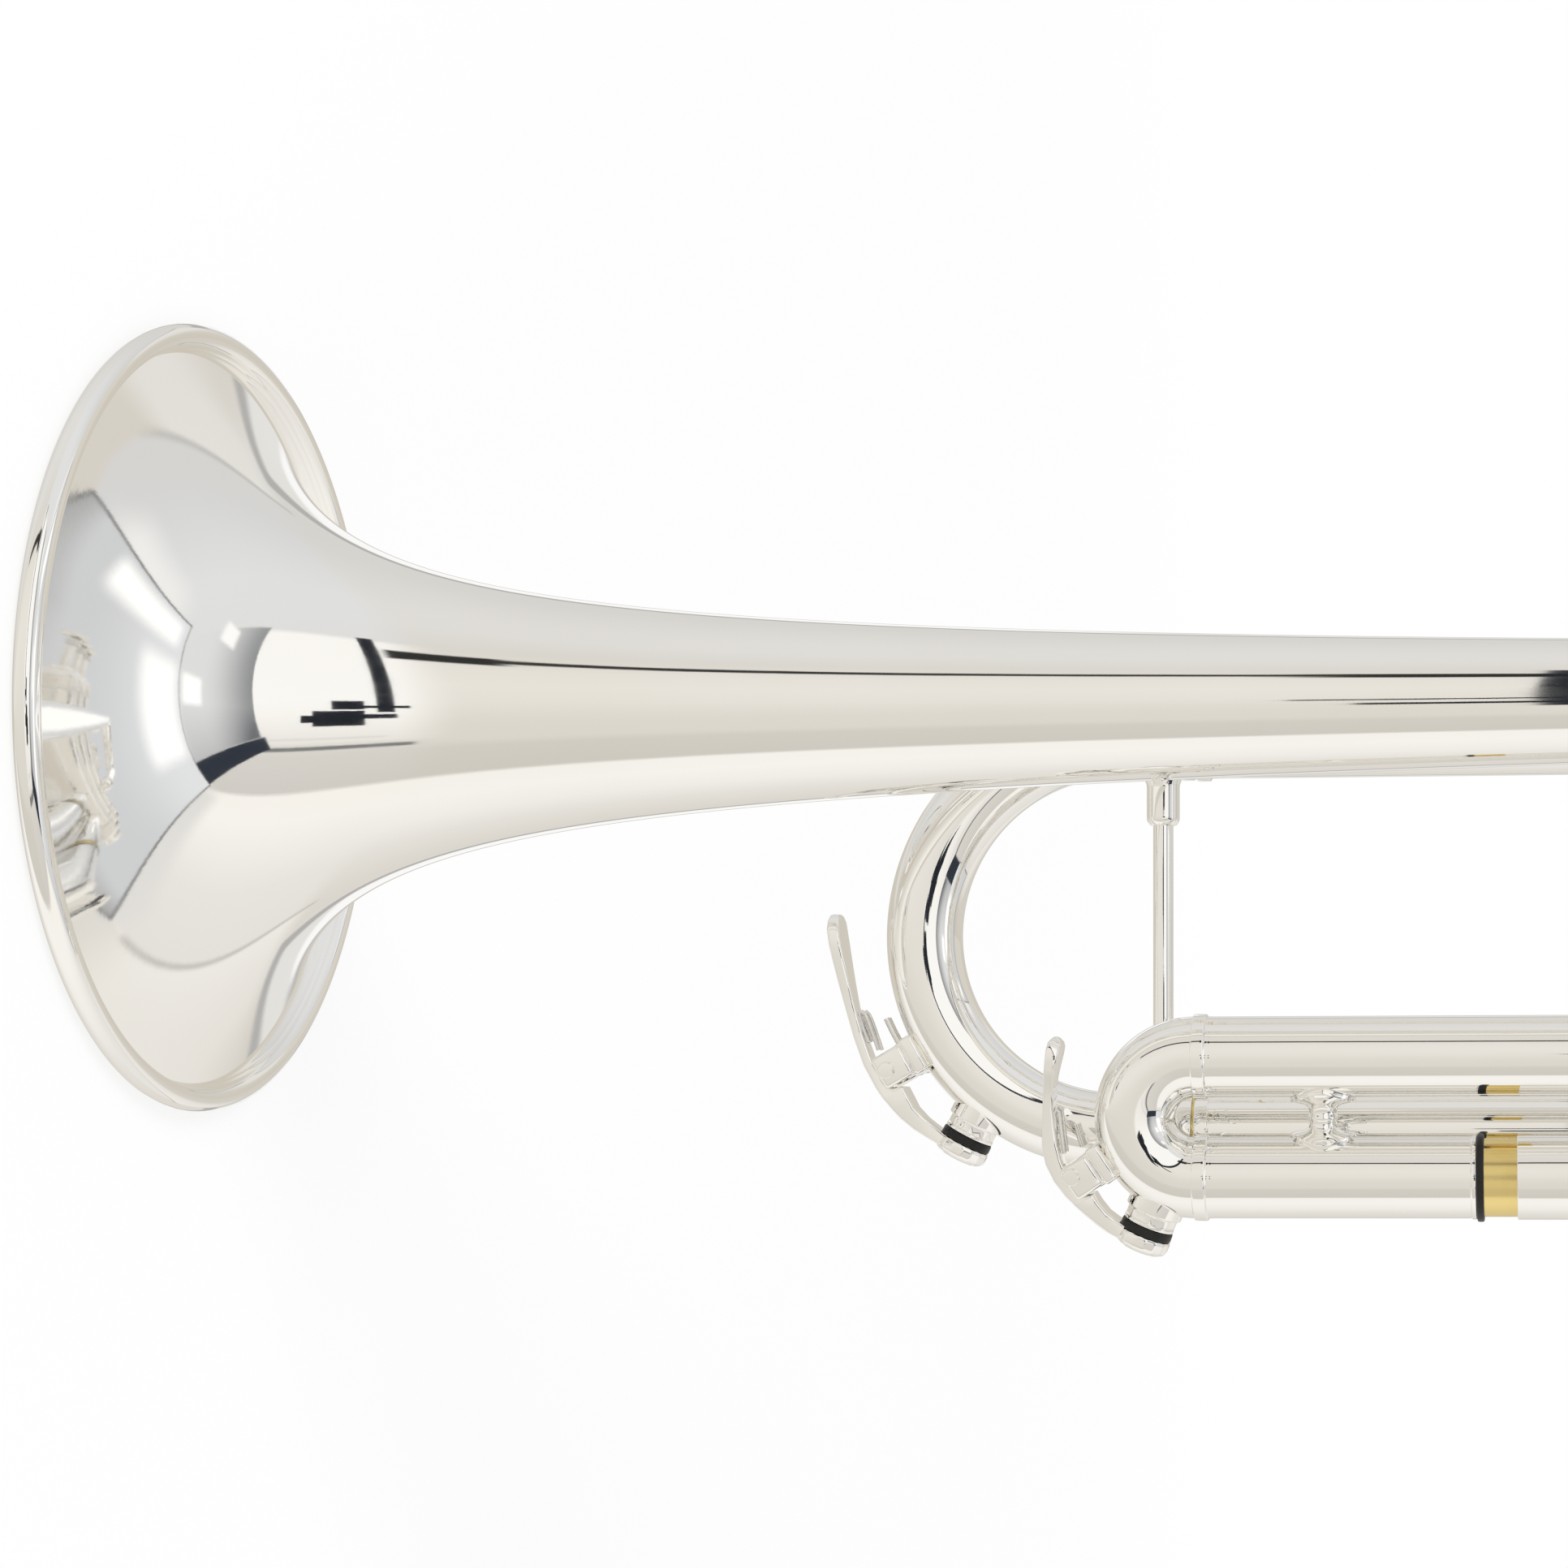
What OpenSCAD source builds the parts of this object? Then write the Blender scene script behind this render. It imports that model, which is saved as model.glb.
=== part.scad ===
// Bb trumpet, standing on the rim of its bell.
// +Z runs along the bell's axis towards the player, -X towards the finger buttons, +Y to the
// player's right. The origin is the centre of the bell's rim, on the surface that it stands on.

/* [Bell] */
// Diameter of the bell at its rim
bell_d = 123; // [110:0.5:150]
// Height of the end of the bell's stem, where the bell bow starts
bell_len = 388; // [370:1:470]
// Thickness of the bell's sheet
bell_wall = 0.55; // [0.4:0.05:0.8]
// Diameter of the bead that is rolled around the rim
bead_d = 3.5; // [3:0.1:4.5]
// Outside diameter of the bell bow
bell_bow_d = 14.4; // [13.4:0.1:16]
// Distance between the two legs of the bell bow
bell_bow_span = 64.8; // [60:0.1:78]
// Sideways place of the bell's tail
tail_y = 6.5; // [4:0.5:7]
// Outside diameter of the bell's tail at the first valve
tail_d = 12.6; // [12.2:0.1:13.4]

/* [Tubes] */
// Bore of the cylindrical tubing
bore = 11.66; // [11:0.01:11.9]
// Outside diameter of the inner slide tubes
inner_d = 12.4; // [12.3:0.05:12.6]
// Outside diameter of the fixed outer slide tubes
outer_d = 13.3; // [13.1:0.05:13.8]
// Radial clearance of a slide tube in its outer tube
slide_gap = 0.05; // [0.03:0.01:0.08]
// Centre-line radius of the elbows at the valves
elbow_r = 10; // [8:0.5:11]

/* [Valves] */
// Height of the third valve's axis
valve3_z = 270; // [265:1:280]
// Distance between neighbouring valves
valve_pitch = 27; // [25:0.5:33]
// Sideways place of the row of valves
valve_y = 21; // [20.5:0.5:24]
// Bore of the valve casings
casing_bore = 16.9; // [14:0.1:17.4]
// Wall of the valve casings
casing_wall = 1.3; // [1:0.1:1.5]
// Radial clearance of a piston in its casing
piston_gap = 0.05; // [0.03:0.01:0.08]
// Travel of a piston
stroke = 16.5; // [13:0.5:20]
// Place of the casings' upper ends, across the bell's axis
casing_top = -30; // [-34:0.5:-28]
// Diameter of the finger buttons
button_d = 18; // [14:0.5:20]
// Diameter of the valve stems
stem_d = 4.8; // [4:0.1:5.8]

/* [Tuning slide] */
// Height of the centre of the tuning slide's bow
tuning_bow_z = 139.2; // [120:0.1:150]
// Distance between the two legs of the tuning slide
tuning_span = 64.8; // [60:0.1:68]
// Outside diameter of the tuning slide's bow
tuning_bow_d = 12.6; // [12.5:0.1:13.2]
// Place of the leadpipe across the bell's axis
lead_x = 4.5; // [0:0.5:8]
// Sideways place of the leadpipe
lead_y = 41; // [39:0.5:46]
// Sideways place of the tuning slide's lower leg
tuning_low_y = 35.5; // [34:0.5:40]
// Height of the lower ends of the tuning slide's outer tubes
tuning_joint_z = 152.5; // [146:0.1:165]
// Height of the brace rod between the tuning slide's legs
tuning_rod_z = 146.8; // [143:0.1:149]
// Diameter of that brace rod
tuning_rod_d = 3.35; // [2.5:0.05:4.5]

/* [Third slide] */
// Height of the centre of the third slide's bow
third_bow_z = 153.7; // [140:0.1:165]
// Place of the upper leg across the bell's axis
third_top_x = 55.6; // [52:0.1:57]
// Distance between the two legs
third_span = 19.3; // [18:0.1:24]
// Outside diameter of the bow and its sleeves
third_bow_d = 12.9; // [12.8:0.1:13.3]
// How far the slide stands out when at rest
third_out = 5; // [2:0.5:8]
// Height of the end of the lower sleeve
third_low_sleeve_z = 198.7; // [190:0.1:210]
// Height of the end of the upper sleeve
third_top_sleeve_z = 233; // [228:0.5:236]
// Height of the brace between the two sleeves
third_brace_z = 174.3; // [168:0.1:182]
// Diameter of the brace's post
third_post_d = 4.4; // [3:0.1:5.5]
// Height of the centre of the finger ring
ring_z = 227.5; // [222:0.5:229]
// Inside diameter of the finger ring
ring_d = 20; // [17:0.5:23]

/* [First and second slides] */
// Place of the first slide's upper leg across the bell's axis
first_top_x = 26.5; // [25:0.5:27]
// Distance between the first slide's legs
first_span = 20; // [18:0.5:22]
// Length of the first slide's outer tubes beyond the casing
first_outer_len = 24; // [18:0.5:28]
// Place of the second slide's upper leg across the bell's axis
second_top_x = 48; // [45:0.5:50]
// Distance between the second slide's legs
second_span = 20; // [18:0.5:24]
// Length of the second slide's outer tubes beyond the casing
second_outer_len = 18; // [12:0.5:24]
// Inside diameter of the thumb saddle
thumb_d = 18; // [16:0.5:20]

/* [Water keys] */
// Diameter of the hinge pins
key_pin_d = 2; // [1.4:0.1:2.4]
// Running clearance around a hinge pin
key_pin_gap = 0.04; // [0.02:0.01:0.08]
// Diameter of the corks
cork_d = 8.4; // [7.5:0.1:9.5]
// Thickness of the lever's strip
key_strip = 1.5; // [1.2:0.1:2]

/* [Leadpipe and mouthpiece] */
// Height of the receiver's mouth
receiver_z = 484; // [470:1:500]
// Length of the receiver
receiver_len = 32; // [28:1:40]
// Length of shank inside the receiver
shank_in = 24; // [20:0.5:26]
// Length of the mouthpiece
mouthpiece_len = 87; // [80:0.5:92]
// Diameter of the mouthpiece's rim
mouthpiece_d = 27; // [25:0.5:29]
// Diameter of the cup inside the rim
cup_d = 16.8; // [15.5:0.1:18]

/* [Hidden] */
$fn = 64;
eps = 0.02;

// Bell: the flare follows a power law whose argument bends outward close to the rim
flare_shift = -4;
flare_bend = 8.14;
flare_fade = 12;
bead_flat = 0.1;
bead_z = bead_d / 2 - bead_flat;
bead_ring_r = bell_d / 2 - bead_d / 2;
wire_d = bead_d - 1.1;
wire_gap = 0.04;
sheet_z = 0.8;
flare_steps = 44;
flare_end = 78;
stem_steps = 16;

function flare_arg(z) = z + flare_shift + flare_bend * exp(-z / flare_fade);
flare_power = ln(bell_d / bell_bow_d) / ln(flare_arg(bell_len) / flare_arg(0));
function bell_r(z) = bell_d / 2 * pow(flare_arg(z) / flare_arg(0), -flare_power);
function bell_slope(z) = (bell_r(z + 0.01) - bell_r(z - 0.01)) / 0.02;
function flare_z(i) = sheet_z + (flare_end - sheet_z) * pow(i / flare_steps, 1.9);
function stem_z(i) = flare_end + (bell_len - flare_end) * i / stem_steps;
function outer_point(z) = [bell_r(z), z];
function inner_point(z) = let (m = bell_slope(z), n = sqrt(1 + m * m))
    [bell_r(z) - bell_wall / n, z + bell_wall * m / n];
function inner_r(z) = bell_r(z) - bell_wall * sqrt(1 + pow(bell_slope(z), 2));

// Bell bow and tail
tail_x = sqrt(bell_bow_span * bell_bow_span - tail_y * tail_y);
bell_lean = atan2(tail_y, tail_x);
bow_wall = 0.55;
seam_step = 0.06;

// Valves
casing_d = casing_bore + 2 * casing_wall;
piston_d = casing_bore - 2 * piston_gap;
barrel_d = piston_d - 2.8;
barrel_wall = 0.7;
function valve_z(n) = valve3_z + (3 - n) * valve_pitch;
tuning_low_x = lead_x + sqrt(tuning_span * tuning_span - pow(lead_y - tuning_low_y, 2));
third_low_x = third_top_x + third_span;
first_low_x = first_top_x + first_span;
second_low_x = second_top_x + second_span;
port_seal = 2.3;
piston_bottom = max(third_low_x, tuning_low_x, tail_x) + bore / 2 + port_seal;
piston_top = 12;
casing_bottom = piston_bottom + 9;
cap_wall = 1.6;
cap_floor = piston_bottom + stroke + 0.4;
cap_bottom = cap_floor + cap_wall;
cap_d = casing_d + 2.8;
cap_skirt = 8;
cap_height = 8;
cap_top = casing_top - cap_height;
cap_ceiling = cap_top + 3;
cap_hole_d = stem_d + 0.8;
stop_felt = 2.5;
felt_gap = 0.05;
barrel_top = cap_ceiling + stop_felt + felt_gap;
barrel_lid = 1.9;
button_felt = 3;
felt_low = cap_top - stroke;
button_low = felt_low - button_felt;
button_height = 5.5;
button_top = button_low - button_height;
pearl_d = button_d - 3.2;
pearl_in = 1.2;
pearl_out = 0.4;
guide_height = 2.6;
guide_x = 0;
guide_ear = 3.6;
slot_gap = 0.3;
spring_wire = 0.9;
spring_turns = 8;
cross3_x = tuning_low_x;
cross1_x = tail_x;
// Ports of each valve, as [direction, place across the bell's axis]. Direction 0 faces the bell,
// 90 the player's right, 180 the player and 270 the player's left.
PORTS = [
    [[0, cross1_x], [180, first_top_x], [180, first_low_x], [270, tail_x]],
    [[0, cross3_x], [180, cross1_x], [90, second_top_x], [90, second_low_x]],
    [[0, third_top_x], [0, third_low_x], [90, tuning_low_x], [180, cross3_x]],
];

// Slides
solder = 0.02;
outer_bore = inner_d + 2 * slide_gap;
ferrule_wall = 0.45;
ferrule_len = 2.3;
tuning_lean = atan2(tuning_low_y - lead_y, tuning_low_x - lead_x);
tuning_leg_end = valve3_z - elbow_r - 14;
tuning_outer_end = 256;
third_leg_end = valve3_z - casing_d / 2 - third_out - 0.4;
bumper_len = 1.35;
bumper_d = 13.9;
third_joint = bumper_len + third_out + 2 * eps;
socket_d = 5.5;
socket_len = 7.9;
plate_t = 0.9;
first_joint_z = valve_z(1) + casing_d / 2 + first_outer_len;
first_bow_z = first_joint_z + 10;
second_joint_y = valve_y + casing_d / 2 + second_outer_len;
second_bow_y = second_joint_y + 7;
joint_gap = 0.3;

// Water keys
key_pin_lift = 5.2;
key_pin_hub = 4.2;
key_half = 3.2;
ear_t = 1.2;
nipple_h = 2.6;
nipple_bore = 4.6;
cork_h = 1.5;
cork_gap = 0.05;
spring_r = 0.3;

// Leadpipe and mouthpiece
lead_low_d = 12.8;
lead_high_d = 10.3;
lead_wall = 0.55;
lead_end = receiver_z - receiver_len + 8;
taper = 0.05;
shank_mouth_d = 11;
shank_gap = 0.03;
mouthpiece_tip = receiver_z - shank_in;

// ---- shared shapes

module tube(od, id, h) {
    difference() {
        cylinder(d = od, h = h);
        translate([0, 0, -1]) cylinder(d = id, h = h + 2);
    }
}

module cone_tube(od1, od2, wall, h) {
    k = (od2 - od1) / h;
    difference() {
        cylinder(d1 = od1, d2 = od2, h = h);
        translate([0, 0, -1])
            cylinder(d1 = od1 - 2 * wall - k, d2 = od2 - 2 * wall + k, h = h + 2);
    }
}

// A bend around the local Z axis, from the direction start through the given angle
module bend(r, od, id, start, angle) {
    difference() {
        rotate([0, 0, start]) rotate_extrude(angle = angle) translate([r, 0]) circle(d = od);
        rotate([0, 0, start - 1]) rotate_extrude(angle = angle + 2) translate([r, 0]) circle(d = id);
    }
}

// Half a turn in the XZ plane that bulges towards +Z
module arch(r, od, id) {
    rotate([90, 0, 0]) bend(r, od, id, 0, 180);
}

module along_x() {
    rotate([0, 90, 0]) children();
}

module at_valve(n) {
    translate([0, valve_y, valve_z(n)]) along_x() children();
}

module casing_solid(n, d = casing_d) {
    at_valve(n) translate([0, 0, casing_top]) cylinder(d = d, h = casing_bottom - casing_top);
}

module port(p, d, len) {
    translate([0, 0, p[1]]) rotate([0, 0, p[0]]) rotate([0, 90, 0]) cylinder(d = d, h = len);
}

// A saddle plate that hugs the +X side of a tube along Z
module saddle_plate(tube_d, w, h, t = plate_t) {
    intersection() {
        translate([0, 0, -h / 2]) tube(tube_d + 2 * t, tube_d + 2 * solder, h);
        translate([0, -w / 2, -h]) cube([tube_d, w, 2 * h]);
    }
}

// A wire of round section along a path that winds around the given axis
module wire(path, r, axis, sides = 6) {
    last = len(path) - 1;
    rings = [for (i = [0:last]) let (
        t = path[min(i + 1, last)] - path[max(i - 1, 0)],
        u = cross(t, axis) / norm(cross(t, axis)),
        v = cross(t, u) / norm(t)
    ) for (k = [0:sides - 1]) path[i] + r * (cos(360 * k / sides) * u + sin(360 * k / sides) * v)];
    skin = [for (i = [0:last - 1], k = [0:sides - 1]) let (a = i * sides, b = (k + 1) % sides)
        [a + k, a + b, a + sides + b, a + sides + k]];
    ends = [[for (k = [0:sides - 1]) sides - 1 - k], [for (k = [0:sides - 1]) last * sides + k]];
    polyhedron(rings, concat(skin, ends));
}

// ---- bell

module bell_flare() {
    outer = [for (i = [0:flare_steps]) outer_point(flare_z(i))];
    inner = [for (i = [flare_steps - 1:-1:0]) inner_point(flare_z(i))];
    color("silver") difference() {
        union() {
            rotate_extrude() polygon(concat(outer, [[inner_r(flare_end), flare_end]], inner));
            rotate_extrude() translate([bead_ring_r, bead_z]) circle(d = bead_d);
        }
        translate([0, 0, -1]) cylinder(d = bell_d + 2, h = 1);
        rotate_extrude() translate([bead_ring_r, bead_z]) circle(d = wire_d + 2 * wire_gap);
    }
}

module bell_stem() {
    outer = [for (i = [0:stem_steps]) outer_point(stem_z(i))];
    inner = [for (i = [stem_steps:-1:0]) [inner_r(stem_z(i)), stem_z(i)]];
    color("silver") rotate_extrude() polygon(concat(outer, inner));
}

module rim_wire() {
    color("goldenrod") rotate_extrude() translate([bead_ring_r, bead_z]) circle(d = wire_d);
}

module bell_bow() {
    bow_id = bell_bow_d - 2 * bow_wall;
    tail_z = valve_z(1) + elbow_r;
    color("silver") {
        translate([tail_x / 2, tail_y / 2, bell_len]) rotate([0, 0, bell_lean])
            arch(bell_bow_span / 2, bell_bow_d, bow_id);
        translate([tail_x, tail_y, tail_z])
            cone_tube(tail_d, bell_bow_d - seam_step, bow_wall - seam_step, bell_len - tail_z);
        difference() {
            translate([tail_x, tail_y + elbow_r, tail_z]) along_x()
                bend(elbow_r, tail_d + seam_step, tail_d - 2 * bow_wall, -90, 90);
            casing_solid(1);
        }
    }
}

// ---- leadpipe side

module lead_axis(z) {
    translate([lead_x, lead_y, z]) children();
}

function lead_d(z) = lead_low_d + (lead_high_d - lead_low_d)
    * (z - tuning_outer_end) / (lead_end - tuning_outer_end);

module leadpipe() {
    color("silver") lead_axis(tuning_outer_end)
        cone_tube(lead_low_d, lead_high_d, lead_wall, lead_end - tuning_outer_end);
}

function shank_d(z) = shank_mouth_d - taper * (receiver_z - z);

module mouthpiece_receiver() {
    low = receiver_z - receiver_len;
    seat = lead_end + 0.4;
    color("silver") lead_axis(0) difference() {
        union() {
            translate([0, 0, low]) cylinder(d1 = 12, d2 = 13.2, h = 5);
            translate([0, 0, low + 5]) cylinder(d = 13.2, h = receiver_len - 5);
            for (z = [receiver_z - 5, receiver_z - 3.4]) translate([0, 0, z]) cylinder(d = 14.2, h = 1);
        }
        translate([0, 0, low - 1]) cylinder(d = lead_d(low) + 2 * solder, h = seat - low + 1);
        translate([0, 0, seat - eps]) cylinder(
            d1 = shank_d(seat - eps) + 2 * shank_gap,
            d2 = shank_d(receiver_z + 1) + 2 * shank_gap,
            h = receiver_z + 1 - seat + eps
        );
    }
}

module bell_brace(z) {
    turn = atan2(lead_y, lead_x);
    reach = norm([lead_x, lead_y]);
    pipe_d = z < tuning_outer_end ? outer_d : lead_d(z) + 0.1;
    stem_r = bell_r(z);
    post_d = 4;
    rotate([0, 0, turn]) {
        difference() {
            union() {
                translate([0, 0, z]) saddle_plate(2 * stem_r, 10, 15, plate_t + 0.2);
                translate([stem_r, 0, z]) along_x() cylinder(d = post_d, h = reach - stem_r - pipe_d / 2);
                translate([reach, 0, z]) rotate([0, 0, 180]) saddle_plate(pipe_d, 9, 13);
                translate([reach / 2, 0, z]) sphere(d = post_d + 1.6);
            }
            translate([0, 0, z - 9]) cylinder(r1 = bell_r(z - 9) + 2 * solder, r2 = bell_r(z + 9) + 2 * solder, h = 18);
            translate([reach, 0, z - 9]) cylinder(d = pipe_d + 2 * solder, h = 18);
        }
    }
}

brace_front_z = 232;
brace_rear_z = bell_len - 16;

module bell_braces() {
    color("silver") {
        bell_brace(brace_front_z);
        bell_brace(brace_rear_z);
    }
}

hook_z = 243;
hook_r = 9;
hook_t = 1.6;
hook_w = 7;
hook_x = lead_x - outer_d / 2 - plate_t - hook_r - hook_t;

module finger_hook() {
    color("silver") {
        translate([hook_x, lead_y, hook_z]) rotate([90, 0, 0]) rotate([0, 0, -290])
            rotate_extrude(angle = 292) translate([hook_r, -hook_w / 2]) square([hook_t, hook_w]);
        difference() {
            lead_axis(hook_z) rotate([0, 0, 180]) saddle_plate(outer_d, 9, 12, plate_t + 0.2);
            translate([hook_x, lead_y + 10, hook_z]) rotate([90, 0, 0]) cylinder(r = hook_r + eps, h = 20);
        }
    }
}

// ---- valves

module valve_casing(n) {
    ring_w = 1.4;
    color("silver") at_valve(n) difference() {
        union() {
            translate([0, 0, casing_top]) cylinder(d = casing_d, h = casing_bottom - casing_top);
            for (x = [casing_top + cap_skirt, casing_bottom - cap_skirt - ring_w])
                translate([0, 0, x]) cylinder(d = casing_d + 1.2, h = ring_w);
        }
        translate([0, 0, casing_top - 1]) cylinder(d = casing_bore, h = casing_bottom - casing_top + 2);
        for (p = PORTS[n - 1]) port(p, bore, casing_d);
    }
}

module crossover_tubes() {
    color("silver") for (c = [[3, cross3_x], [2, cross1_x]]) difference() {
        translate([c[1], valve_y, valve_z(c[0])]) tube(outer_d, bore, valve_pitch);
        casing_solid(c[0]);
        casing_solid(c[0] - 1);
    }
}

module top_caps() {
    color("silver") for (n = [1:3]) at_valve(n) difference() {
        union() {
            translate([0, 0, casing_top - 1]) cylinder(d = cap_d, h = cap_skirt + 1);
            translate([0, 0, cap_ceiling - 1.5]) cylinder(d1 = cap_d - 5, d2 = cap_d, h = 5.5);
            translate([0, 0, cap_top]) cylinder(d = cap_hole_d + 5, h = 3);
        }
        translate([0, 0, casing_top - eps]) cylinder(d = casing_d + 2 * solder, h = cap_skirt + 1);
        translate([0, 0, cap_ceiling]) cylinder(d = piston_d - 1, h = cap_skirt);
        translate([0, 0, cap_top - 1]) cylinder(d = cap_hole_d, h = cap_skirt);
    }
}

module bottom_caps() {
    color("silver") for (n = [1:3]) at_valve(n) difference() {
        union() {
            translate([0, 0, casing_bottom - cap_skirt])
                cylinder(d = cap_d, h = cap_skirt + 3);
            translate([0, 0, casing_bottom + 3])
                cylinder(d1 = cap_d, d2 = cap_d - 3, h = cap_bottom - casing_bottom - 3);
        }
        translate([0, 0, casing_bottom - cap_skirt - 1]) cylinder(d = casing_d + 2 * solder, h = cap_skirt + 1);
        translate([0, 0, casing_bottom - 1]) cylinder(d = casing_bore + 0.2, h = cap_floor - casing_bottom + 1);
        translate([0, 0, cap_floor - 1]) cylinder(d = 4, h = 5);
    }
}

module valve_guides() {
    color("gold") for (n = [1:3]) at_valve(n) translate([0, 0, guide_x - guide_height / 2]) intersection() {
        cylinder(d = casing_bore - 2 * eps, h = guide_height);
        union() {
            cylinder(d = barrel_d - 2 * barrel_wall - 0.4, h = guide_height);
            translate([-guide_ear / 2, -casing_bore, 0]) cube([guide_ear, 2 * casing_bore, guide_height]);
        }
    }
}

module piston(n) {
    wall = 0.9;
    body_h = piston_bottom - piston_top;
    slot_low = guide_x + guide_height / 2 + slot_gap;
    slot_high = guide_x - guide_height / 2 - stroke - slot_gap;
    color("gainsboro") at_valve(n) difference() {
        union() {
            difference() {
                translate([0, 0, piston_top]) cylinder(d = piston_d, h = body_h);
                translate([0, 0, piston_top + wall]) cylinder(d = piston_d - 2 * wall, h = body_h - 2 * wall);
            }
            translate([0, 0, barrel_top]) difference() {
                cylinder(d = barrel_d, h = piston_top - barrel_top + wall / 2);
                translate([0, 0, barrel_lid])
                    cylinder(d = barrel_d - 2 * barrel_wall, h = piston_top - barrel_top);
            }
        }
        translate([-guide_ear / 2 - slot_gap, -barrel_d, slot_high])
            cube([guide_ear + 2 * slot_gap, 2 * barrel_d, slot_low - slot_high]);
        for (p = PORTS[n - 1]) port(p, bore, piston_d);
    }
}

module valve_stem(n) {
    color("silver") at_valve(n) translate([0, 0, button_low])
        cylinder(d = stem_d, h = barrel_top - button_low);
}

module finger_button(n) {
    neck_d = stem_d + 2;
    color("silver") at_valve(n) difference() {
        union() {
            translate([0, 0, button_top]) cylinder(d = button_d, h = 1.6);
            translate([0, 0, button_top + 1.6]) cylinder(d1 = button_d, d2 = button_d - 4, h = 1.4);
            translate([0, 0, button_top + 3]) cylinder(d1 = neck_d + 3, d2 = neck_d, h = button_height - 3);
        }
        translate([0, 0, button_top - 1]) cylinder(d = pearl_d + 2 * eps, h = 1 + pearl_in);
    }
}

module pearl(n) {
    color("ivory") at_valve(n) {
        translate([0, 0, button_top]) cylinder(d = pearl_d, h = pearl_in);
        translate([0, 0, button_top - pearl_out]) cylinder(d1 = pearl_d - 2, d2 = pearl_d, h = pearl_out);
    }
}

module valve_felts(n) {
    color("white") at_valve(n) {
        translate([0, 0, button_low]) tube(stem_d + 5, stem_d + eps, button_felt);
        translate([0, 0, barrel_top - stop_felt]) tube(barrel_d - 0.6, stem_d + eps, stop_felt);
    }
}

module valve_spring(n) {
    steps = 16;
    low = barrel_top + barrel_lid + spring_wire / 2 + 0.1;
    high = guide_x - guide_height / 2 - spring_wire / 2 - 0.1;
    coil_r = barrel_d / 2 - barrel_wall - spring_wire / 2 - 0.4;
    path = [for (i = [0:spring_turns * steps]) let (a = 360 * i / steps)
        [coil_r * cos(a), coil_r * sin(a), low + (high - low) * i / (spring_turns * steps)]];
    color("dimgray") at_valve(n) wire(path, spring_wire / 2, [0, 0, 1]);
}

// ---- fixed outer tubes

module tuning_outer_tubes() {
    low_end = valve3_z - elbow_r;
    color("silver") {
        lead_axis(tuning_joint_z) tube(outer_d, outer_bore, tuning_outer_end - tuning_joint_z);
        lead_axis(tuning_joint_z) tube(outer_d + 2 * ferrule_wall, outer_d - eps, ferrule_len);
        translate([tuning_low_x, tuning_low_y, tuning_joint_z]) {
            tube(outer_d, outer_bore, low_end - tuning_joint_z);
            tube(outer_d + 2 * ferrule_wall, outer_d - eps, ferrule_len);
        }
        difference() {
            translate([tuning_low_x, tuning_low_y - elbow_r, low_end]) along_x()
                bend(elbow_r, outer_d, bore, 90, 90);
            casing_solid(3);
        }
    }
}

module third_outer_tubes() {
    ends = [third_top_sleeve_z + third_joint, third_low_sleeve_z + third_joint];
    color("silver") difference() {
        for (i = [0:1]) translate([i == 0 ? third_top_x : third_low_x, valve_y, ends[i]])
            tube(outer_d, outer_bore, valve3_z - ends[i]);
        casing_solid(3);
    }
}

module first_outer_tubes() {
    color("silver") difference() {
        for (x = [first_top_x, first_low_x]) translate([x, valve_y, valve_z(1)])
            tube(outer_d, outer_bore, first_joint_z - valve_z(1));
        casing_solid(1);
    }
}

module second_outer_tubes() {
    color("silver") difference() {
        for (x = [second_top_x, second_low_x]) translate([x, valve_y, valve_z(2)]) rotate([-90, 0, 0])
            tube(outer_d, outer_bore, second_joint_y - valve_y);
        casing_solid(2);
    }
}

// ---- water keys, drawn around the centre of a bow that bulges towards -Z

module tuning_bow_frame() {
    translate([(lead_x + tuning_low_x) / 2, (lead_y + tuning_low_y) / 2, tuning_bow_z])
        rotate([0, 0, tuning_lean]) children();
}

module third_bow_frame() {
    translate([third_top_x + third_span / 2, valve_y, third_bow_z]) children();
}

// Turns local +Z outward at the angle phi, which runs from -Z towards +X
module at_angle(phi, r = 0) {
    rotate([0, 180 - phi, 0]) translate([0, 0, r]) children();
}

// A strip that is bent around the bow's centre, between two angles
module bent_strip(r, t, w, from, to) {
    rotate([-90, 0, 0]) rotate([0, 0, 90 - to]) rotate_extrude(angle = to - from)
        translate([r, -w / 2]) square([t, w]);
}

// Each key is [bow's outer radius, lever's inner radius, pin radius, angles of tip, pin and nipple,
// and the nipple's lean towards the bow's lower leg]
tuning_bow_r = (tuning_span + tuning_bow_d) / 2;
third_bow_r = (third_span + third_bow_d) / 2;
TUNING_KEY = [tuning_bow_r, tuning_bow_r + 7, tuning_bow_r + key_pin_lift, -1, 30.5, 52.4, 10];
THIRD_KEY = [third_bow_r, third_bow_r + 6.4, third_bow_r + key_pin_lift, -27, 25, 65.8, 1.5];

module at_nipple(key, h) {
    at_angle(key[5], key[0]) rotate([0, -key[6], 0]) translate([0, 0, h]) children();
}

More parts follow.
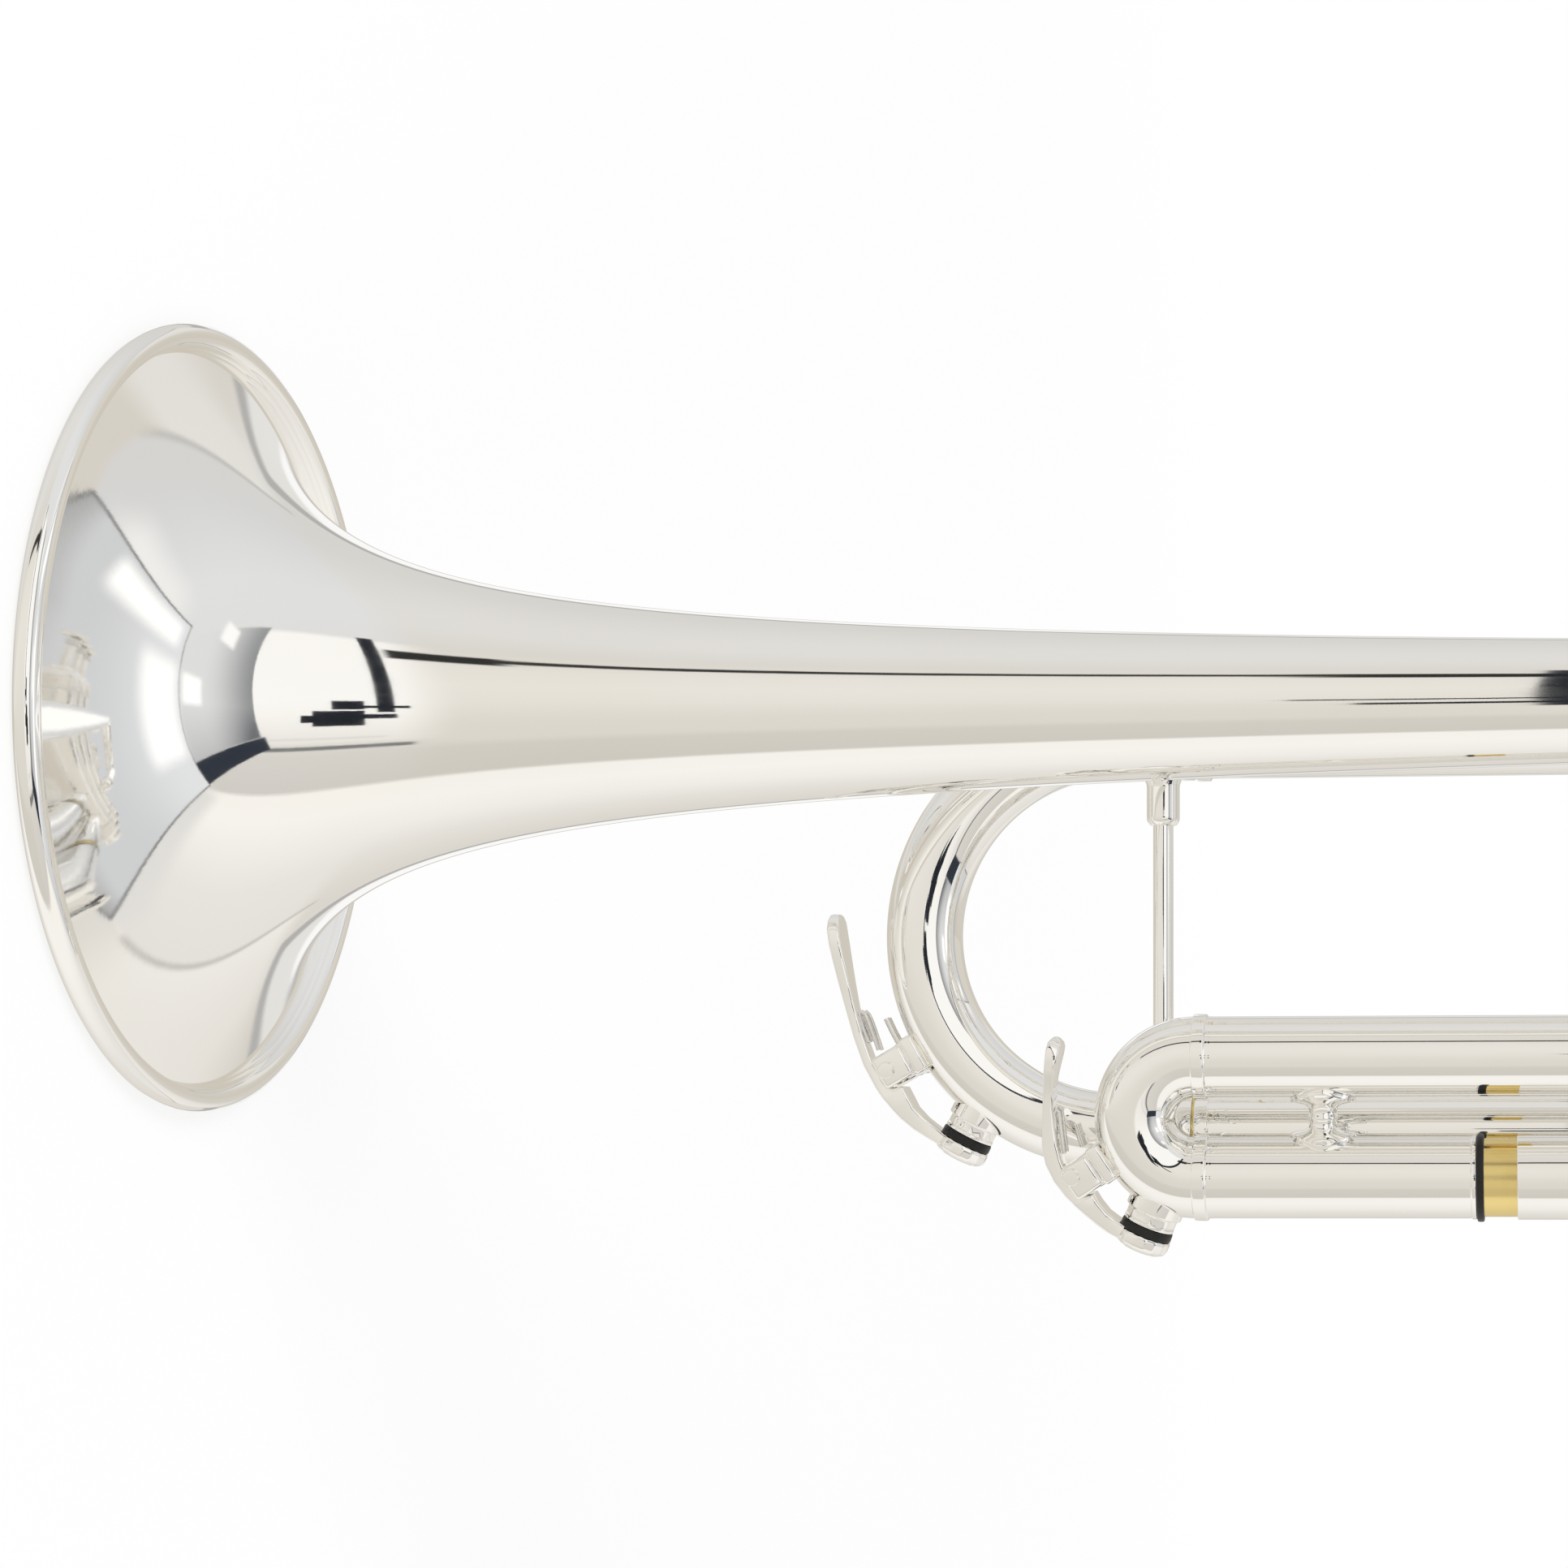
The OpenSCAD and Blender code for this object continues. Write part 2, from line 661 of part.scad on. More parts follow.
module key_saddle(key) {
    foot = 9.5;
    ear_out = key_half + 0.25 + ear_t;
    difference() {
        union() {
            at_angle(key[4], key[0] - 0.6) translate([-foot / 2, -ear_out, 0])
                cube([foot, 2 * ear_out, 1.9]);
            for (s = [-1, 1]) at_angle(key[4], key[0]) translate([0, s * (ear_out - ear_t / 2), 0]) {
                translate([-foot / 2 + 1, -ear_t / 2, 0]) cube([foot - 2, ear_t, 2]);
                translate([-2.3, -ear_t / 2, 0]) cube([4.6, ear_t, key[2] - key[0]]);
                translate([0, ear_t / 2, key[2] - key[0]]) rotate([90, 0, 0]) cylinder(d = 4.6, h = ear_t);
            }
            at_angle(key[4], key[2]) translate([0, ear_out + 0.2, 0]) rotate([90, 0, 0])
                cylinder(d = key_pin_d, h = 2 * ear_out + 0.4);
        }
        children();
    }
    difference() {
        union() {
            at_nipple(key, -1.8) cylinder(d = cork_d, h = 2.4);
            at_nipple(key, 0.4) cylinder(d1 = cork_d - 0.8, d2 = cork_d - 1.8, h = nipple_h - 0.4);
        }
        at_nipple(key, -4) cylinder(d = nipple_bore, h = 12);
        children();
    }
}

module key_lever(key) {
    color("silver") difference() {
        union() {
            bent_strip(key[1], key_strip, 3.4, key[3] + 6, key[5]);
            bent_strip(key[1] - 0.1, key_strip + 0.2, 7.5, key[3] - 3, key[3] + 9);
            at_angle(key[4], key[2]) translate([0, key_half, 0]) rotate([90, 0, 0])
                cylinder(d = key_pin_hub, h = 2 * key_half);
            at_nipple(key, nipple_h + cork_h + 2 * cork_gap) {
                cylinder(d = cork_d, h = 0.8);
                translate([0, 0, 0.8]) cylinder(d1 = cork_d, d2 = cork_d - 3.4, h = 2.1);
                cylinder(d = 3.2, h = 3.9);
            }
        }
        at_angle(key[4], key[2]) translate([0, 10, 0]) rotate([90, 0, 0])
            cylinder(d = key_pin_d + 2 * key_pin_gap, h = 20);
        at_angle(key[4], key[2]) translate([-3.4, -1.5, -3.6])
            cube([6.8, 3, 3.6 + key_pin_d / 2 + key_pin_gap + 2 * spring_r + 0.3]);
    }
}

module key_cork(key) {
    color("black") at_nipple(key, nipple_h + cork_gap) cylinder(d = cork_d, h = cork_h);
}

// A torsion spring: coils around the pin, one leg under the lever and one on the saddle's foot
module key_spring(key) {
    steps = 12;
    turns = 3;
    r = key_pin_d / 2 + key_pin_gap + spring_r + 0.15;
    leg = 6;
    coil = [for (i = [0:turns * steps]) let (a = 180 + 360 * i / steps)
        [r * sin(a), -1 + 2 * i / (turns * steps), r * cos(a)]];
    first_leg = [for (i = [4:-1:1]) [leg * i / 4, -1, -r]];
    color("dimgray") at_angle(key[4], key[2]) wire(concat(first_leg, coil), spring_r, [0, 1, 0]);
}

// ---- tuning slide

module tuning_bow_solid(grow = 0) {
    tuning_bow_frame() rotate([-90, 0, 0]) rotate_extrude(angle = 180)
        translate([tuning_span / 2, 0]) circle(d = tuning_bow_d + grow);
}

module tuning_legs_at(z) {
    translate([lead_x, lead_y, z]) children();
    translate([tuning_low_x, tuning_low_y, z]) children();
}

module tuning_bow() {
    straight = tuning_joint_z - joint_gap - tuning_bow_z;
    bow_id = inner_d + 2 * solder;
    color("silver") {
        difference() {
            tuning_bow_frame() rotate([-90, 0, 0]) bend(tuning_span / 2, tuning_bow_d, bore, 0, 180);
            tuning_bow_frame() at_nipple(TUNING_KEY, -4) cylinder(d = nipple_bore, h = 8);
        }
        tuning_legs_at(tuning_bow_z) tube(tuning_bow_d + 0.3, bow_id, straight - ferrule_len);
        tuning_legs_at(tuning_bow_z + straight - ferrule_len) tube(outer_d + 0.6, bow_id, ferrule_len);
    }
}

module tuning_legs() {
    color("goldenrod") tuning_legs_at(tuning_bow_z) tube(inner_d, bore, tuning_leg_end - tuning_bow_z);
}

module tuning_brace() {
    leg_r = tuning_bow_d / 2 + 0.15;
    color("silver") difference() {
        translate([lead_x, lead_y, tuning_rod_z]) rotate([0, 0, tuning_lean]) along_x() {
            cylinder(d = tuning_rod_d, h = tuning_span);
            cylinder(d = socket_d, h = leg_r + socket_len);
            translate([0, 0, tuning_span - leg_r - socket_len]) cylinder(d = socket_d, h = leg_r + socket_len);
        }
        tuning_legs_at(tuning_rod_z - 10) cylinder(d = 2 * leg_r + 2 * solder, h = 20);
    }
}

module tuning_key_saddle() {
    color("silver") tuning_bow_frame() key_saddle(TUNING_KEY)
        rotate([-90, 0, 0]) rotate_extrude(angle = 180)
            translate([tuning_span / 2, 0]) circle(d = tuning_bow_d + 2 * solder);
}

// ---- third slide

module third_bow() {
    color("silver") difference() {
        third_bow_frame() rotate([-90, 0, 0]) bend(third_span / 2, third_bow_d, bore, 0, 180);
        third_bow_frame() at_nipple(THIRD_KEY, -4) cylinder(d = nipple_bore, h = 8);
    }
}

module third_sleeves() {
    color("silver") for (leg = [[third_top_x, third_top_sleeve_z], [third_low_x, third_low_sleeve_z]])
        translate([leg[0], valve_y, third_bow_z]) {
            tube(third_bow_d, inner_d + 2 * solder, leg[1] - third_bow_z);
            tube(third_bow_d + 2 * ferrule_wall, third_bow_d - eps, ferrule_len);
        }
}

module third_legs() {
    color("goldenrod") for (x = [third_top_x, third_low_x]) translate([x, valve_y, third_bow_z])
        tube(inner_d, bore, third_leg_end - third_bow_z);
}

module third_brace() {
    half = third_span / 2;
    post_r = third_post_d / 2;
    post_bead = 0.9;
    color("silver") translate([third_top_x, valve_y, third_brace_z]) difference() {
        union() {
            saddle_plate(third_bow_d, 9.5, 11.3);
            translate([third_span, 0, 0]) rotate([0, 0, 180]) saddle_plate(third_bow_d, 9.5, 11.3);
            along_x() rotate_extrude() polygon([
                [0, 0], [post_r, 0], [post_r, half - post_bead], [post_r + 0.5, half],
                [post_r, half + post_bead], [post_r, third_span], [0, third_span]
            ]);
        }
        for (x = [0, third_span]) translate([x, 0, -10]) cylinder(d = third_bow_d + 2 * solder, h = 20);
    }
}

module third_bumpers() {
    color("black") for (leg = [[third_top_x, third_top_sleeve_z], [third_low_x, third_low_sleeve_z]])
        translate([leg[0], valve_y, leg[1] + eps]) tube(bumper_d, inner_d + eps, bumper_len);
}

ring_t = 1.5;
ring_w = 4.5;
ring_x = third_top_x - third_bow_d / 2 - plate_t - ring_d / 2 - ring_t;

module finger_ring() {
    color("silver") {
        translate([ring_x, valve_y + ring_w / 2, ring_z]) rotate([90, 0, 0])
            tube(ring_d + 2 * ring_t, ring_d, ring_w);
        difference() {
            translate([third_top_x, valve_y, ring_z]) rotate([0, 0, 180])
                saddle_plate(third_bow_d, 8, 9, plate_t + 0.3);
            translate([ring_x, valve_y + 10, ring_z]) rotate([90, 0, 0]) cylinder(d = ring_d + eps, h = 20);
        }
    }
}

module third_key_saddle() {
    color("silver") third_bow_frame() key_saddle(THIRD_KEY)
        rotate([-90, 0, 0]) rotate_extrude(angle = 180)
            translate([third_span / 2, 0]) circle(d = third_bow_d + 2 * solder);
}

// ---- first slide

module first_bow() {
    straight = first_bow_z - first_joint_z - joint_gap;
    color("silver") {
        translate([first_top_x + first_span / 2, valve_y, first_bow_z]) arch(first_span / 2, third_bow_d, bore);
        for (x = [first_top_x, first_low_x]) translate([x, valve_y, first_joint_z + joint_gap])
            tube(third_bow_d, inner_d + 2 * solder, straight);
    }
}

module first_legs() {
    low = valve_z(1) + casing_d / 2 + 0.6;
    color("goldenrod") for (x = [first_top_x, first_low_x]) translate([x, valve_y, low])
        tube(inner_d, bore, first_bow_z - low);
}

thumb_t = 1.4;
thumb_w = 8;
thumb_arm = 1.5;
thumb_x = first_top_x - third_bow_d / 2 - plate_t - thumb_t - thumb_d / 2;
thumb_z = first_joint_z + 5.5;

module thumb_saddle() {
    color("silver") {
        translate([thumb_x, valve_y, thumb_z]) {
            rotate([-90, 0, 0]) rotate([0, 0, -90]) rotate_extrude(angle = 180)
                translate([thumb_d / 2, -thumb_w / 2]) square([thumb_t, thumb_w]);
            for (z = [-thumb_d / 2 - thumb_t, thumb_d / 2]) translate([-thumb_arm, -thumb_w / 2, z])
                cube([thumb_arm, thumb_w, thumb_t]);
        }
        difference() {
            translate([first_top_x, valve_y, thumb_z]) rotate([0, 0, 180])
                saddle_plate(third_bow_d, 8, 7.5, plate_t + 0.3);
            translate([thumb_x, valve_y + 10, thumb_z]) rotate([90, 0, 0]) cylinder(d = thumb_d + eps, h = 20);
        }
    }
}

// ---- second slide

module second_axis(y) {
    translate([second_top_x + second_span / 2, y, valve_z(2)]) rotate([-90, 0, 0]) children();
}

module second_bow() {
    straight = second_bow_y - second_joint_y - joint_gap;
    knob_y = second_bow_y + second_span / 2 + third_bow_d / 2;
    color("silver") {
        second_axis(second_bow_y) arch(second_span / 2, third_bow_d, bore);
        for (s = [-1, 1]) second_axis(second_joint_y + joint_gap) translate([s * second_span / 2, 0, 0])
            tube(third_bow_d, inner_d + 2 * solder, straight);
        difference() {
            second_axis(knob_y - 0.6) union() {
                cylinder(d1 = 5, d2 = 3, h = 2.4);
                cylinder(d = 3, h = 3.4);
                translate([0, 0, 5.2]) sphere(d = 6.4);
            }
            second_axis(second_bow_y) rotate([90, 0, 0]) rotate_extrude(angle = 180)
                translate([second_span / 2, 0]) circle(d = third_bow_d);
        }
    }
}

module second_legs() {
    low = valve_y + casing_d / 2 + 0.6;
    color("goldenrod") for (s = [-1, 1]) second_axis(low) translate([s * second_span / 2, 0, 0])
        tube(inner_d, bore, second_bow_y - low);
}

// ---- mouthpiece

module mouthpiece() {
    tip_r = shank_d(mouthpiece_tip) / 2;
    mouth_r = shank_mouth_d / 2;
    top = mouthpiece_len;
    rim_r = mouthpiece_d / 2;
    cup_r = cup_d / 2;
    throat_r = 1.85;
    cup_depth = 12;
    body = [
        [tip_r, 0], [mouth_r, shank_in], [mouth_r + 0.25, shank_in + 5], [4.7, shank_in + 16],
        [4.6, shank_in + 24], [5.2, shank_in + 31], [7.4, top - 27]
    ];
    bowl = [for (a = [15:15:90]) [7.4 + (rim_r - 8.4) * sin(a), top - 10 - 17 * cos(a)]];
    rim = [for (a = [-30:15:90]) [rim_r - 1.6 + 1.6 * cos(a), top - 1.6 + 1.6 * sin(a)]];
    cup = [for (a = [90:-10:10]) [throat_r + (cup_r - throat_r) * sin(a),
        top - 1.2 - cup_depth * cos(a)]];
    color("silver") lead_axis(mouthpiece_tip) rotate_extrude() polygon(concat(
        body,
        bowl,
        rim,
        [[cup_r + 0.6, top]],
        cup,
        [[throat_r, top - cup_depth - 4], [throat_r, top - cup_depth - 8], [tip_r - 0.6, 0]]
    ));
}

bell_flare();
bell_stem();
rim_wire();
bell_bow();
leadpipe();
mouthpiece_receiver();
bell_braces();
finger_hook();
crossover_tubes();
top_caps();
bottom_caps();
valve_guides();
tuning_outer_tubes();
third_outer_tubes();
first_outer_tubes();
second_outer_tubes();
for (n = [1:3]) {
    valve_casing(n);
    piston(n);
    valve_stem(n);
    finger_button(n);
    pearl(n);
    valve_felts(n);
    valve_spring(n);
}
tuning_bow();
tuning_legs();
tuning_brace();
tuning_key_saddle();
tuning_bow_frame() key_lever(TUNING_KEY);  // tuning_key_lever
tuning_bow_frame() key_cork(TUNING_KEY);  // tuning_key_cork
tuning_bow_frame() key_spring(TUNING_KEY);  // tuning_key_spring
third_bow();
third_sleeves();
third_legs();
third_brace();
third_bumpers();
finger_ring();
third_key_saddle();
third_bow_frame() key_lever(THIRD_KEY);  // third_key_lever
third_bow_frame() key_cork(THIRD_KEY);  // third_key_cork
third_bow_frame() key_spring(THIRD_KEY);  // third_key_spring
first_bow();
first_legs();
thumb_saddle();
second_bow();
second_legs();
mouthpiece();
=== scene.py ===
from math import atan2, cos, degrees, exp, hypot, log, pi, radians, sin, sqrt

import bmesh
import bpy
from mathutils import Matrix, Vector


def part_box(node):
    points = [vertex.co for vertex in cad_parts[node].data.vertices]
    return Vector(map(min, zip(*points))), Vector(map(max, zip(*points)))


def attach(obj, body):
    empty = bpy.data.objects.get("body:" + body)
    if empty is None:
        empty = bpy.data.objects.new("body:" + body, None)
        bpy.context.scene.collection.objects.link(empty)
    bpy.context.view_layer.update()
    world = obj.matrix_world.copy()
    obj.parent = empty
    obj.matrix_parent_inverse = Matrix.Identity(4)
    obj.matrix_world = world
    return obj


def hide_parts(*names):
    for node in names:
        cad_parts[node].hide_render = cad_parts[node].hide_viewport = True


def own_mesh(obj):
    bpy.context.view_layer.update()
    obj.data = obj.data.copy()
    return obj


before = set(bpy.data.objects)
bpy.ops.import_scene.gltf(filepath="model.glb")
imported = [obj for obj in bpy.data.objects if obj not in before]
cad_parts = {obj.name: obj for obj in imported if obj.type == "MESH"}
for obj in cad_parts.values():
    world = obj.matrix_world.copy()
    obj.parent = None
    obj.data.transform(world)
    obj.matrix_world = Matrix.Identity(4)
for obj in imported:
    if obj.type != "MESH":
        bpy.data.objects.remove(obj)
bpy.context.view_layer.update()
scene = bpy.context.scene
MM = 0.001
X, Y, Z = Vector((1, 0, 0)), Vector((0, 1, 0)), Vector((0, 0, 1))


def V(x, y, z):
    return Vector((x, y, z))


def box(node):
    """A CAD node's lowest and highest corner, in millimetres."""
    low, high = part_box(node)
    return low / MM, high / MM


# ---- materials

def node(tree, kind, inputs, **settings):
    """A shader node. Its inputs are numbers, colours or other nodes' outputs."""
    made = tree.nodes.new("ShaderNode" + kind)
    for name, value in settings.items():
        setattr(made, name, value)
    for socket, value in inputs.items():
        if isinstance(value, bpy.types.NodeSocket):
            tree.links.new(value, made.inputs[socket])
        else:
            made.inputs[socket].default_value = value
    return made


def nodes_of(name):
    mat = bpy.data.materials.new(name)
    mat.use_nodes = True
    return mat, mat.node_tree, mat.node_tree.nodes["Principled BSDF"]


def noise(tree, scale, stretch=(1, 1, 1), detail=3.0, rough=0.55):
    """A noise over the part's own coordinates, in features per metre."""
    where = node(tree, "TexCoord", {}).outputs["Object"]
    fit = node(tree, "Mapping", {"Vector": where, "Scale": stretch}).outputs["Vector"]
    tex = node(tree, "TexNoise", {"Vector": fit, "Scale": scale, "Detail": detail, "Roughness": rough})
    return tex.outputs["Fac"]


def ramp(tree, source, stops):
    """Colours at places from 0 to 1 along the source."""
    made = node(tree, "ValToRGB", {"Fac": source})
    bar = made.color_ramp.elements
    while len(bar) < len(stops):
        bar.new(0.5)
    for item, (place, colour) in zip(bar, stops):
        item.position = place
        item.color = (*colour, 1)
    return made.outputs["Color"]


def spread(tree, source, low, high):
    """The middle of a noise's range, stretched to run from low to high."""
    limits = {"From Min": 0.3, "From Max": 0.7, "To Min": low, "To Max": high}
    return node(tree, "MapRange", {"Value": source, **limits}).outputs["Result"]


def bump(tree, bsdf, source, distance, under=None):
    """Raises the surface by the source, on top of another bump where there is one."""
    inputs = {"Strength": 1, "Distance": distance, "Height": source}
    if under:
        inputs["Normal"] = under
    made = node(tree, "Bump", inputs).outputs["Normal"]
    tree.links.new(made, bsdf.inputs["Normal"])
    return made


def metal(name, bright, dull, low, high, wave=0.00002, hair=0.0000015, tarnish=22):
    """Polished metal: slight tarnish in the colour, hairlines in the roughness, and a faint waviness."""
    mat, tree, bsdf = nodes_of(name)
    bsdf.inputs["Metallic"].default_value = 1
    tree.links.new(
        ramp(tree, noise(tree, tarnish, detail=4), [(0.36, dull), (0.62, bright)]),
        bsdf.inputs["Base Color"],
    )
    scratch = noise(tree, 260, (1, 1, 0.06), 5, 0.7)
    tree.links.new(spread(tree, scratch, low, high), bsdf.inputs["Roughness"])
    first = bump(tree, bsdf, noise(tree, 38, detail=1), wave)
    bump(tree, bsdf, noise(tree, 900, (1, 1, 0.05), 3), hair, first)
    return mat


silver = metal("silver_plate", (0.966, 0.955, 0.931), (0.953, 0.941, 0.91), 0.025, 0.06)
brass = metal("raw_brass", (0.88, 0.7, 0.3), (0.8, 0.6, 0.22), 0.12, 0.26, 0.00001, 0.000004, 60)
nickel = metal("nickel", (0.74, 0.72, 0.68), (0.66, 0.64, 0.6), 0.12, 0.2)
steel = metal("spring_steel", (0.86, 0.85, 0.83), (0.74, 0.73, 0.71), 0.05, 0.12, 0.000005, 0.000002, 200)


def soft(name, dark, pale, rough, grain, depth, sheen=0.0, specular=0.5):
    """Felt or rubber: a fine grain in the colour and the surface, and a slower change of roughness."""
    mat, tree, bsdf = nodes_of(name)
    fibres = noise(tree, grain, detail=6, rough=0.7)
    tree.links.new(ramp(tree, fibres, [(0.3, dark), (0.7, pale)]), bsdf.inputs["Base Color"])
    tree.links.new(spread(tree, noise(tree, grain / 4), rough - 0.08, rough + 0.08), bsdf.inputs["Roughness"])
    bsdf.inputs["Sheen Weight"].default_value = sheen
    bsdf.inputs["Specular IOR Level"].default_value = specular
    bump(tree, bsdf, fibres, depth)
    return mat


rubber = soft("black_rubber", (0.006, 0.006, 0.0065), (0.016, 0.0155, 0.015), 0.4, 2600, 0.00003, specular=0.28)
felt = soft("felt", (0.62, 0.6, 0.56), (0.86, 0.85, 0.82), 0.93, 3800, 0.00022, 0.4, 0.2)


def mother_of_pearl():
    mat, tree, bsdf = nodes_of("pearl")
    warp = noise(tree, 90, (1, 1, 1), 2)
    tree.links.new(
        ramp(tree, warp, [
            (0.3, (0.84, 0.83, 0.8)), (0.42, (0.9, 0.86, 0.84)), (0.5, (0.8, 0.86, 0.83)),
            (0.58, (0.92, 0.88, 0.8)), (0.7, (0.83, 0.84, 0.88)),
        ]),
        bsdf.inputs["Base Color"],
    )
    bsdf.inputs["Roughness"].default_value = 0.16
    bsdf.inputs["Coat Weight"].default_value = 0.7
    bsdf.inputs["Coat Roughness"].default_value = 0.04
    bump(tree, bsdf, warp, 0.00003)
    return mat


pearl = mother_of_pearl()
SLOTS = {
    "silver_plate": silver, "raw_brass": brass, "nickel": nickel, "pearl": pearl,
    "felt": felt, "black_rubber": rubber, "spring_steel": steel,
}

# ---- mesh code

def add(name, data):
    obj = bpy.data.objects.new(name, data)
    scene.collection.objects.link(obj)
    return obj


def aim(point, direction, side=None):
    """A placement whose local Z points along direction, and local Y as near to side as it can."""
    z = Vector(direction).normalized()
    s = Vector(side) if side is not None else (X if abs(z.x) < 0.9 else Y)
    x = s.cross(z).normalized()
    y = z.cross(x)
    m = Matrix((x, y, z)).transposed().to_4x4()
    m.translation = Vector(point)
    return m


def arc(centre, u, v, radius, start, end, steps):
    """Points of an arc, in degrees, from direction u towards direction v."""
    out = []
    for i in range(steps + 1):
        a = radians(start + (end - start) * i / steps)
        out.append(Vector(centre) + radius * (cos(a) * Vector(u) + sin(a) * Vector(v)))
    return out


def rounded(points, r, steps=4, closed=True):
    """A profile with its corners rounded. r is one radius, or one for each point."""
    out = []
    n = len(points)
    for i, p in enumerate(points):
        p = Vector(p)
        radius = r[i] if isinstance(r, (list, tuple)) else r
        if radius <= 0 or (not closed and i in (0, n - 1)):
            out.append(p)
            continue
        a, b = Vector(points[i - 1]) - p, Vector(points[(i + 1) % n]) - p
        reach = min(radius, 0.49 * a.length, 0.49 * b.length)
        a, b = p + a.normalized() * reach, p + b.normalized() * reach
        for k in range(steps + 1):
            t = k / steps
            out.append(a * (1 - t) ** 2 + 2 * p * t * (1 - t) + b * t * t)
    return out


class Shape:
    """Collects surfaces, in millimetres in the row frame, and makes one piece of them."""

    def __init__(self):
        self.points = []
        self.faces = []

    def skin(self, rings, loop=False):
        """Joins rings of points, each with the same number of points."""
        count = len(rings[0])
        base = len(self.points)
        for ring in rings:
            self.points += ring
        last = len(rings) if loop else len(rings) - 1
        for i in range(last):
            a, b = base + i * count, base + ((i + 1) % len(rings)) * count
            for k in range(count):
                n = (k + 1) % count
                self.faces.append((a + k, a + n, b + n, b + k))
        if not loop:
            self.faces.append(tuple(base + k for k in reversed(range(count))))
            top = base + (len(rings) - 1) * count
            self.faces.append(tuple(top + k for k in range(count)))
        return self

    def lathe(self, place, profile, loop=False, sides=72, wave=None):
        """Turns (radius, height) points around the placement's Z axis. wave(i, angle) adds to a radius."""
        rings = []
        for i, (r, h) in enumerate(profile):
            ring = []
            for k in range(sides):
                a = 2 * pi * k / sides
                q = max(r, 0.01) + (wave(i, a) if wave else 0)
                ring.append(place @ V(q * cos(a), q * sin(a), h))
            rings.append(ring)
        return self.skin(rings, loop)

    def pipe(self, path, radius, sides=48, section=None):
        """A round tube along a path. radius is a number, or a function of the share of the length.

        section gives another outline instead, as (along the normal, across it) points at a share."""
        path = [Vector(p) for p in path]
        far = [0.0]
        for a, b in zip(path, path[1:]):
            far.append(far[-1] + (b - a).length)
        normal = None
        rings = []
        for i, p in enumerate(path):
            t = (path[min(i + 1, len(path) - 1)] - path[max(i - 1, 0)]).normalized()
            if normal is None:
                normal = t.orthogonal().normalized()
            else:
                normal = (normal - t * normal.dot(t)).normalized()
            other = t.cross(normal)
            share = far[i] / far[-1]
            if section:
                rings.append([p + normal * a + other * b for a, b in section(share)])
            else:
                r = radius(share) if callable(radius) else radius
                turns = [2 * pi * k / sides for k in range(sides)]
                rings.append([p + r * (cos(a) * normal + sin(a) * other) for a in turns])
        return self.skin(rings)

    def block(self, place, size, bevel=0.3, steps=3):
        """A box with rounded edges, centred in X and Y and standing on Z 0."""
        made = bmesh.new()
        bmesh.ops.create_cube(made, size=1)
        for v in made.verts:
            v.co = V(v.co.x * size[0], v.co.y * size[1], (v.co.z + 0.5) * size[2])
        bmesh.ops.bevel(
            made, geom=made.edges[:], offset=bevel, segments=steps, profile=0.5, affect="EDGES"
        )
        return self._take(made, place)

    def _take(self, made, place):
        base = len(self.points)
        made.verts.ensure_lookup_table()
        made.verts.index_update()
        self.points += [place @ v.co for v in made.verts]
        self.faces += [tuple(base + v.index for v in f.verts) for f in made.faces]
        made.free()
        return self

    def done(self, name, body, slot, *nodes, angle=34):
        """Makes the piece. It rides on the body, and stands for the nodes. Edges over the angle stay sharp."""
        mesh = bpy.data.meshes.new(name)
        mesh.from_pydata([p * MM for p in self.points], [], self.faces)
        made = bmesh.new()
        made.from_mesh(mesh)
        bmesh.ops.recalc_face_normals(made, faces=made.faces[:])
        made.to_mesh(mesh)
        made.free()
        mesh.polygons.foreach_set("use_smooth", [True] * len(mesh.polygons))
        mesh.set_sharp_from_angle(angle=radians(angle))
        obj = add(name, mesh)
        mesh.materials.append(SLOTS[slot])
        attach(obj, body)
        if nodes:
            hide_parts(*nodes)
        return obj


def hollow(outer, inner, length, lip):
    """A tube's profile with rounded lips, for a lathe that closes on itself."""
    return rounded([(outer, 0), (outer, length), (inner, length), (inner, 0)], [lip, lip, 0.1, 0.1], 3)


def collar(shape, place, r, out, length):
    """A ring that hugs a tube."""
    low, high = r - 0.1, r + out
    shape.lathe(place, rounded([(low, 0), (high, 0), (high, length), (low, length)], min(0.35, out), 4), True)


def saddle_rings(place, tube_r, outline, foot, count=48):
    """Rings of a flange that hugs a tube along local Y and rises into a post along local Z.

    foot holds (share, height, post radius) rows: share 0 is the flange's outline, and 1 the post."""
    rings = []
    for share, height, post_r in foot:
        ring = []
        for k in range(count):
            a = 2 * pi * k / count
            du, dv = outline(a)
            turn = du / tube_r
            hug = V(sin(turn) * (tube_r + height), dv, cos(turn) * (tube_r + height))
            post = V(post_r * cos(a), post_r * sin(a), tube_r + height)
            ring.append(place @ (hug * (1 - share) + post * share))
        rings.append(ring)
    return rings


def boat(wide, long, power=2.4):
    """A flange outline: half widths around and along the tube. The power 2 is an ellipse, and more is squarer."""
    def point(a):
        c, s = cos(a), sin(a)
        r = (abs(c) ** power + abs(s) ** power) ** (-1 / power)
        return wide * c * r, long * s * r
    return point


# Shares and heights of a brace's flange, from its edge to the start of its post
FOOT = [(0, -0.3), (0, 0.35), (0.03, 0.62), (0.1, 0.78), (0.35, 0.86), (0.62, 0.98)]
FOOT_HEIGHT = 2.6


